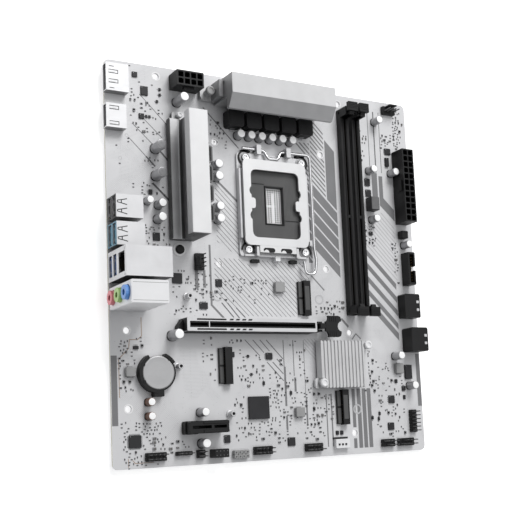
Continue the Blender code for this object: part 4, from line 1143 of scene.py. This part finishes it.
def make_inductors():
    """Grey moulded inductors with tinned ends, and a taller one beside the memory slots."""
    for u, v, long, wide in ((112.4, 135.3, 7, 6.6), (123.2, 215.2, 6.4, 6), (202.6, 188.2, 6.2, 6.8),
                             (11.4, 188.2, 6, 5.6)):
        limits = around(u, long / 2), around(v, wide / 2)
        GREY_BLOCKS.round_block(*limits, (0.2, 3), 0.6, 0.3)
        for side in SIDES:
            PADS.bar(u, v + side * wide / 2, (1.5, 0.5), (0, 1.1), 0.1)
        outline_box(*limits)
        keep_clear(*limits, 0.8)
    limits = around(187.4, 3.4), around(75.4, 4.6)
    CHIPS.round_block(*limits, (0.2, 6.6), 0.5, 0.2)
    lid = Piece("memory_choke_lid", "grey_choke")
    lid.round_block(inset(limits[0], 0.2), inset(limits[1], 0.2), (6.4, 7.1), 0.5, 0.2)
    keep_clear(*limits, 0.8)


def make_headers():
    """Pin headers along the bottom and front edges, and the fan headers."""
    fan_header(201, 3.6, False)
    fan_header(54.4, 116.2, True)
    HEADER_BASES.round_block((209.4, 214.8), (92.7, 98), (0.05, 5), 0.5, 0.3)
    keep_clear((209.4, 214.8), (92.7, 98), 0.7)
    for row in ((209.4, 216.4, 2, 6), (19.4, 235.2, 5, 2, (4, 1)), (38.2, 235.4, 4, 1), (51.6, 235, 2, 2),
                (89.6, 235.2, 5, 2, (3, 0)), (126.2, 235.2, 5, 2, (4, 0)), (185.2, 235.2, 4, 2, (0, 1)),
                (198.4, 235.2, 5, 2, (0, 0))):
        header(*row)
    Piece("shrouded_header", "black_plastic").round_block((60.4, 69.8), (235.2, 240.4), (0.1, 7.6), 0.5, 0.2)
    for i, j in product(range(4), range(2)):
        HEADER_PINS.bar(61.6 + i * 2.3, 236.5 + j * 2.5, 0.3, (7.4, 7.9), 0.1)
    keep_clear((60.4, 69.8), (235.2, 240.4), 0.7)
    header(75.4, 236.6, 4, 2, pin_top=4, base=Piece("grey_header", "grey_ferrite"), base_height=3.2)
    Piece("white_fan_header", "white_plastic").round_block((148.2, 158.8), (233.5, 239.4), (0.1, 3.2), 0.3)
    # A dark bar along the header's back edge: partly a printed line, partly painted shadow.
    CHIPS.block((147.6, 158.8), (232.2, 233.3), (0.05, 0.8), 0.1)
    for i in range(3):
        HEADER_BASES.bar(150.6 + i * PITCH, 236.9, 0.6, (2.9, 3.7), 0.1)
    keep_clear((148.2, 158.8), (232.2, 239.4), 0.7)


def make_button():
    """The round fixing under the left heatsink's end: a black plug in a white ring."""
    at = (44.8, 114.2)
    Piece("fixing_ring", "white_painted_metal").turned(at, [(4, 0.02), (4, 0.8), (3.6, 1), (2.9, 1)], 36)
    Piece("fixing_plug", "black_plastic").turned(at, [(2.8, 0.1), (2.8, 2), (2.2, 2.6), (0.8, 2.7)], 36)
    keep_clear(around(at[0], 4), around(at[1], 4))


# Each row: limits along u and v, number of parts, share of larger ones.
SCATTER_REGIONS = (
    ((15, 37), (2, 44), 36, 0.1), ((22, 38), (74, 83), 12, 0.2), ((23, 38), (100, 112), 22, 0.2),
    ((40, 62), (127, 154), 46, 0.25), ((64, 106), (129, 145), 38, 0.3), ((56, 84), (168, 198), 26, 0.3),
    ((84, 112), (176, 202), 36, 0.25), ((78, 112), (202, 232), 70, 0.2), ((112, 137), (196, 233), 60, 0.35),
    ((117, 134), (168, 196), 20, 0.25), ((5, 30), (217, 242), 70, 0.15), ((5, 20), (168, 200), 34, 0.3),
    ((30, 46), (226, 234), 12, 0.3), ((134, 150), (204, 232), 26, 0.4), ((139, 163), (142, 152), 22, 0.3),
    ((182, 206), (180, 232), 60, 0.3), ((180, 190), (88, 104), 22, 0.25), ((181, 186), (10, 48), 14, 0.4),
    ((199, 209), (22, 34), 14, 0.45), ((204, 210), (96, 134), 16, 0.3), ((66, 96), (20, 48), 20, 0.2),
    ((210.4, 214.6), (3.5, 31), 40, 0.2), ((173.6, 176.8), (171, 200), 30, 0.3), ((5, 36), (46, 82), 14, 0),
)


# Printed lines, tracks and pads


def make_grey_ink(grey):
    """The broad grey bands beside the socket and the memory slots, and the bars near the bottom edge."""
    grey.slab([(152.8, 33), (160.2, 40.4), (160.2, 81.3), (152.8, 74.1)])
    grey.slab([(184.6, 148.4), (189.8, 148.4), (205.4, 164), (205.4, 169.2)])
    grey.slab([(195.8, 54), (199, 54), (199, 69.5), (207.5, 77.5), (207.5, 85.5), (195.8, 75)])
    fine, broad = (3.3, 1.35, 0), (9.1, 7.7, 69.5)
    for region, spacing in (
        ([(141.4, 24), (146, 21), (151.9, 27), (151.9, 40.6), (141.4, 40.6)], fine),
        (rectangle((141.4, 146.4), (40.6, 46.6)), fine),
        ([(141.4, 46.6), (151.9, 46.6), (151.9, 73), (141.4, 62.9)], fine),
        ([(128, 36.8), (140.8, 36.8), (140.8, 49.6)], fine),
        (rectangle((136.4, 139.4), (52, 66)), fine),
        (rectangle((136.4, 139.4), (66.2, 118)), broad),
        ([(142, 64.8), (160.2, 83), (160.2, 127.1), (142, 108.9)], broad),
        ([(181.6, 105.8), (205.4, 129.6), (205.4, 161.4), (181.6, 137.6)], (9.2, 4.2, 71.6)),
        ([(70, 66), (86.4, 80.8), (86.4, 82.6), (70, 67.8)], (90, 3.4, 2.2)),
    ):
        grey.stripes(region, *spacing)
    for u, v, width in (
        (54.6, (126, 138), 2.2), (60, (126, 137), 1.8), (113.8, (169, 186), 0.6), (113.8, (186, 211), 1.4),
        (113.8, (217, 226), 1.4), (120.9, (169, 192), 0.6), (121, (193, 202), 1.5), (128.8, (207, 224), 1.2),
        (128.8, (169, 206.8), 0.4), (143.8, (204, 238), 0.8), (147.5, (204, 238), 1),
        (164, (201, 226.4), 2.5), (164, (233.6, 240), 2.5), (168, (201, 240), 3), (172, (201, 240), 3),
        (176, (201, 240), 3), (190, (52, 69), 4.6), (0.3, (178.5, 219), 3.6), (218, (178, 214), 3.3),
    ):
        grey.block((u, u + width), v)
    for route, width in (
        ([(65.2, 110), (65.2, 147.6), (73.6, 156)], 1.3), ([(159, 154.5), (164.3, 160)], 1.5),
        ([(166.5, 168.4), (170, 164.6), (173.7, 168)], 0.8), ([(131, 120), (147, 136)], 0.9),
    ):
        grey.ribbon(route, width)


def make_light_ink(light):
    for region, spacing in (
        ([(182.6, 90), (190, 84), (196.6, 79.6), (206.8, 89.8), (206.8, 127.6), (182.6, 103.4)], (3.3, 1)),
        ([(129.6, 168), (139, 168), (139, 183), (129.6, 176)], (2.6, 0.7)),
    ):
        light.stripes(region, *spacing)
    for u, v in ((69.3, 142), (142.6, 142.2), (168, 214.6)):
        light.ring(u, v, 2.3, 3.3, (0, INK * 2))
    for u, v in ((13.4, 46), (9, 60.5), (28, 62), (210, 84)):
        light.ring(u, v, 0.8, 1.1, sides=20)


def make_dark_ink(dark):
    for region in (
        [(70.4, 70), (86, 85.6), (86, 117), (70.4, 107.6)],
        [(68, 108), (86, 118), (96, 118), (124, 154), (88, 154), (68, 142)],
        [(96.4, 118.2), (129, 118.2), (137, 126), (124.4, 153.4)],
    ):
        dark.stripes(region, 3.35, 0.45)
    for u, width in ((188.9, 0.45), (193.6, 0.9), (198.4, 0.5)):
        dark.block((u, u + width), (8, 51.6))
    for start, end, width in (
        ((22, 19), (46, 43), 0.4), ((24, 34), (36, 45), 0.4), ((17, 38), (30, 50), 0.4),
        ((14.5, 47), (25, 57.5), 0.4),
        ((25.2, 57.7), (31, 63.5), 1), ((33, 52), (39.5, 59), 1.1), ((64, 22), (88, 46), 0.7),
        ((29, 74), (39.5, 84), 1.2), ((87, 169), (97, 179), 0.5), ((92.5, 169), (100, 177), 0.5),
        ((97.5, 169), (104, 176), 0.5), ((102, 169), (113.4, 181), 0.55), ((102, 183), (113.4, 195), 0.55),
        ((106, 183), (113.4, 190.6), 0.55), ((109, 181), (113.4, 185.6), 0.55), ((72, 146), (80, 155), 0.7),
        ((76, 146), (84, 155.5), 0.7), ((82, 149), (88, 155), 0.7),
    ):
        dark.ribbon([start, end], width, (0, INK * 1.5))


def make_ink():
    make_grey_ink(Piece("ink_grey", "grey_ink"))
    make_light_ink(Piece("ink_light", "light_ink"))
    make_dark_ink(Piece("ink_dark", "dark_ink"))
    line = Piece("brown_tracks", "brown_line")
    line.ribbon([(19.3, 156), (19.3, 167), (16.8, 169.2), (11.8, 169.2), (11.2, 174.4), (5, 180.6), (5, 203)],
                0.45)
    line.ribbon([(9.4, 243), (9.4, 238)], 0.4)
    line.ribbon([(12, 239), (13.5, 240.8), (25, 240.8)], 0.4)


# Bundles of parallel tracks: start, first run, second run, number, and step from track to track.
TRACK_BUNDLES = (
    ((146, 60), (8, 8), (8, 0), 8, (0, 1.1)), ((104, 206), (5, 0), (6, -6), 9, (0, 0.9)),
    ((88, 221), (0, 4), (-5, 5), 10, (0.9, 0)), ((56, 188), (0, 10), (8, 8), 7, (1.1, 0)),
    ((124, 170), (0, 9), (5, 5), 6, (1, 0)), ((20, 118), (0, 8), (5, 5), 5, (1.2, 0)),
    ((182, 172), (6, 6), (10, 0), 8, (0, 1)), ((44, 156), (6, -6), (0, -8), 5, (1.2, 0)),
    ((6, 52), (10, 10), (0, 12), 8, (1, 0)), ((34, 202), (0, 8), (5, 5), 5, (1.1, 0)),
)


def make_tracks():
    """Raised tracks, and small round vias that are densest beside the top heatsink."""
    tracks, vias = Piece("board_tracks", "raised_track"), Piece("board_vias", "light_ink", "bright_steel")
    for start, first, second, count, step in TRACK_BUNDLES:
        for i in range(count):
            u, v = start[0] + step[0] * i, start[1] + step[1] * i
            bend = u + first[0], v + first[1]
            tracks.ribbon([(u, v), bend, (bend[0] + second[0], bend[1] + second[1])], 0.22, (0, 0.02))
    for number in range(1200):
        limits = ((50, 80), (17, 45)) if number % 4 == 0 else ((2, 219), (2, 242))
        u, v = RANDOM.uniform(*limits[0]), RANDOM.uniform(*limits[1])
        if is_free(u, v, 0.3):
            vias.slab(circle(u, v, RANDOM.choice((0.16, 0.2, 0.24)), 8), (0, 0.02))


def make_hole_rings():
    """White rings round the board's mounting holes and the cooler's."""
    rings = Piece("hole_rings", "white_painted_metal", "board_white")
    for u, v in MOUNTING_HOLES:
        rings.ring(u, v, 2, 2.9, (0, 0.08))
    cu, cv = centre_of("socket_body")
    for a, b in CORNERS:
        rings.ring(cu + a * 39, cv + b * 39, 2, 2.6)


def make_underside():
    """Rows of small parts under the socket, and solder joints of the ports and slots."""
    under = Piece("underside_parts", "ceramic_grey")
    for i, j in product(range(9), range(12)):
        under.bar(97 + i * 3.3, 66 + j * 2.9, (0.8, 0.4), (UNDERSIDE - 0.7, UNDERSIDE + 0.05))
    for u, i in product((3.5, 9.5, 15), range(9)):
        joint_below(u, 88 + i * 7.6)
    for node in ("short_slot", "long_slot"):
        (start, end), v, _ = span(node)
        for i, side in product(range(int((end - start) / 2)), SIDES):
            joint_below(start + 1 + i * 2, middle(v) + side * (1 + i % 2))


# Camera, light and floor


def make_stage():
    """A large white floor that glows a little, so that it is as white as the backdrop."""
    mesh = bpy.data.meshes.new("floor")
    size, level = 4, CAD_LOW.z - 0.0002
    mesh.from_pydata([(a * size, b * size, level) for a, b in CORNERS], [], [(0, 1, 2, 3)])
    floor = bpy.data.objects.new("floor", mesh)
    bpy.context.scene.collection.objects.link(floor)
    glow = MATERIALS["floor_white"].node_tree.nodes["Principled BSDF"]
    glow.inputs["Emission Color"].default_value = (1, 1, 1, 1)
    glow.inputs["Emission Strength"].default_value = 0.45
    mesh.materials.append(MATERIALS["floor_white"])


def area_light(name, position, aim, size, power):
    light = bpy.data.lights.new(name, "AREA")
    light.shape = "RECTANGLE"
    light.size = light.size_y = size
    light.energy = power
    lamp = bpy.data.objects.new(name, light)
    bpy.context.scene.collection.objects.link(lamp)
    lamp.location = position
    lamp.rotation_euler = (Vector(aim) - Vector(position)).to_track_quat("-Z", "Y").to_euler()


def make_lights():
    centre, above = (CAD_LOW + CAD_HIGH) / 2, Vector((0.5, 0.25, 0))
    area_light("key", centre + Vector((0.2, 0.95, 0.9)), centre, 0.55, 12.4)
    area_light("overhead", centre + above + Vector((0, 0, 1.3)), centre + above, 2, 12.3)
    world = bpy.data.worlds.new("studio")
    bpy.context.scene.world = world
    world.use_nodes = True
    background = world.node_tree.nodes["Background"]
    background.inputs["Color"].default_value = (0.95, 0.97, 1, 1)
    background.inputs["Strength"].default_value = 0.2
    bpy.context.scene.view_settings.view_transform = "Standard"


CAMERA_PLACE, CAMERA_AIM, CAMERA_ROLL = (-196.2, 229, 555.7), (157.7, 143.5, 0), -3.02


def make_camera():
    """A camera above the rear ports' side. Its shift keeps the board where a wide crop would put it."""
    camera = bpy.data.cameras.new("camera")
    camera.lens = 67.94
    camera.sensor_width = 36
    camera.shift_x, camera.shift_y = -0.139, 0.070
    camera.clip_start, camera.clip_end = 0.01, 20
    view = bpy.data.objects.new("camera", camera)
    bpy.context.scene.collection.objects.link(view)
    ahead = (place(*CAMERA_AIM) - place(*CAMERA_PLACE)).normalized()
    right = ahead.cross(Vector((0, 1, 0))).normalized()
    upright = Matrix((right, right.cross(ahead), -ahead)).transposed().to_4x4()
    roll = Matrix.Rotation(math.radians(CAMERA_ROLL), 4, "Z")
    view.matrix_world = Matrix.Translation(place(*CAMERA_PLACE)) @ upright @ roll
    bpy.context.scene.camera = view


# Starts of the names of nodes that small parts keep away from, by the margin in millimetres.
CLEAR_NODES = {
    0.8: ("front_port_socket", "main_power_socket", "processor_power_socket", "memory_slot", "load_lever",
          "long_slot_shield", "short_slot", "controller_chip", "chipset", "socket_frame", "power_heatsink",
          "heatsink_pin_top", "long_slot_latch", "memory_latch_b_bottom", "dual_port", "network_port",
          "video_port", "audio_jack_stack", "drive_port", "battery_holder"),
    1.2: ("storage_socket", "wireless_socket"),
    1.4: ("choke",),
    2: ("card_post",),
}


def clear_cad_nodes():
    for margin, starts in CLEAR_NODES.items():
        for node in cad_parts:
            if node.startswith(starts):
                keep_clear(*span(node)[:2], margin)
    for u, v in MOUNTING_HOLES:
        keep_clear(around(u, 4.4), around(v, 4.4))


clear_cad_nodes()
paint_cad_nodes()
refinish_cad_nodes()
make_contacts()
make_screws()
make_lever()
make_socket_trim()
make_spring_pins()
make_power_stages()
make_heatsink_trim()
make_choke_trim()
make_power_pins()
make_memory_trim()
make_slot_trim()
make_card_sockets()
make_rear_ports()
make_front_sockets()
make_battery()
make_cans_and_chips()
make_inductors()
make_headers()
make_button()
for scatter_region in SCATTER_REGIONS:
    scatter(*scatter_region)
make_ink()
make_tracks()
make_hole_rings()
make_underside()
for piece in PIECES:
    piece.make()
make_stage()
make_lights()
make_camera()
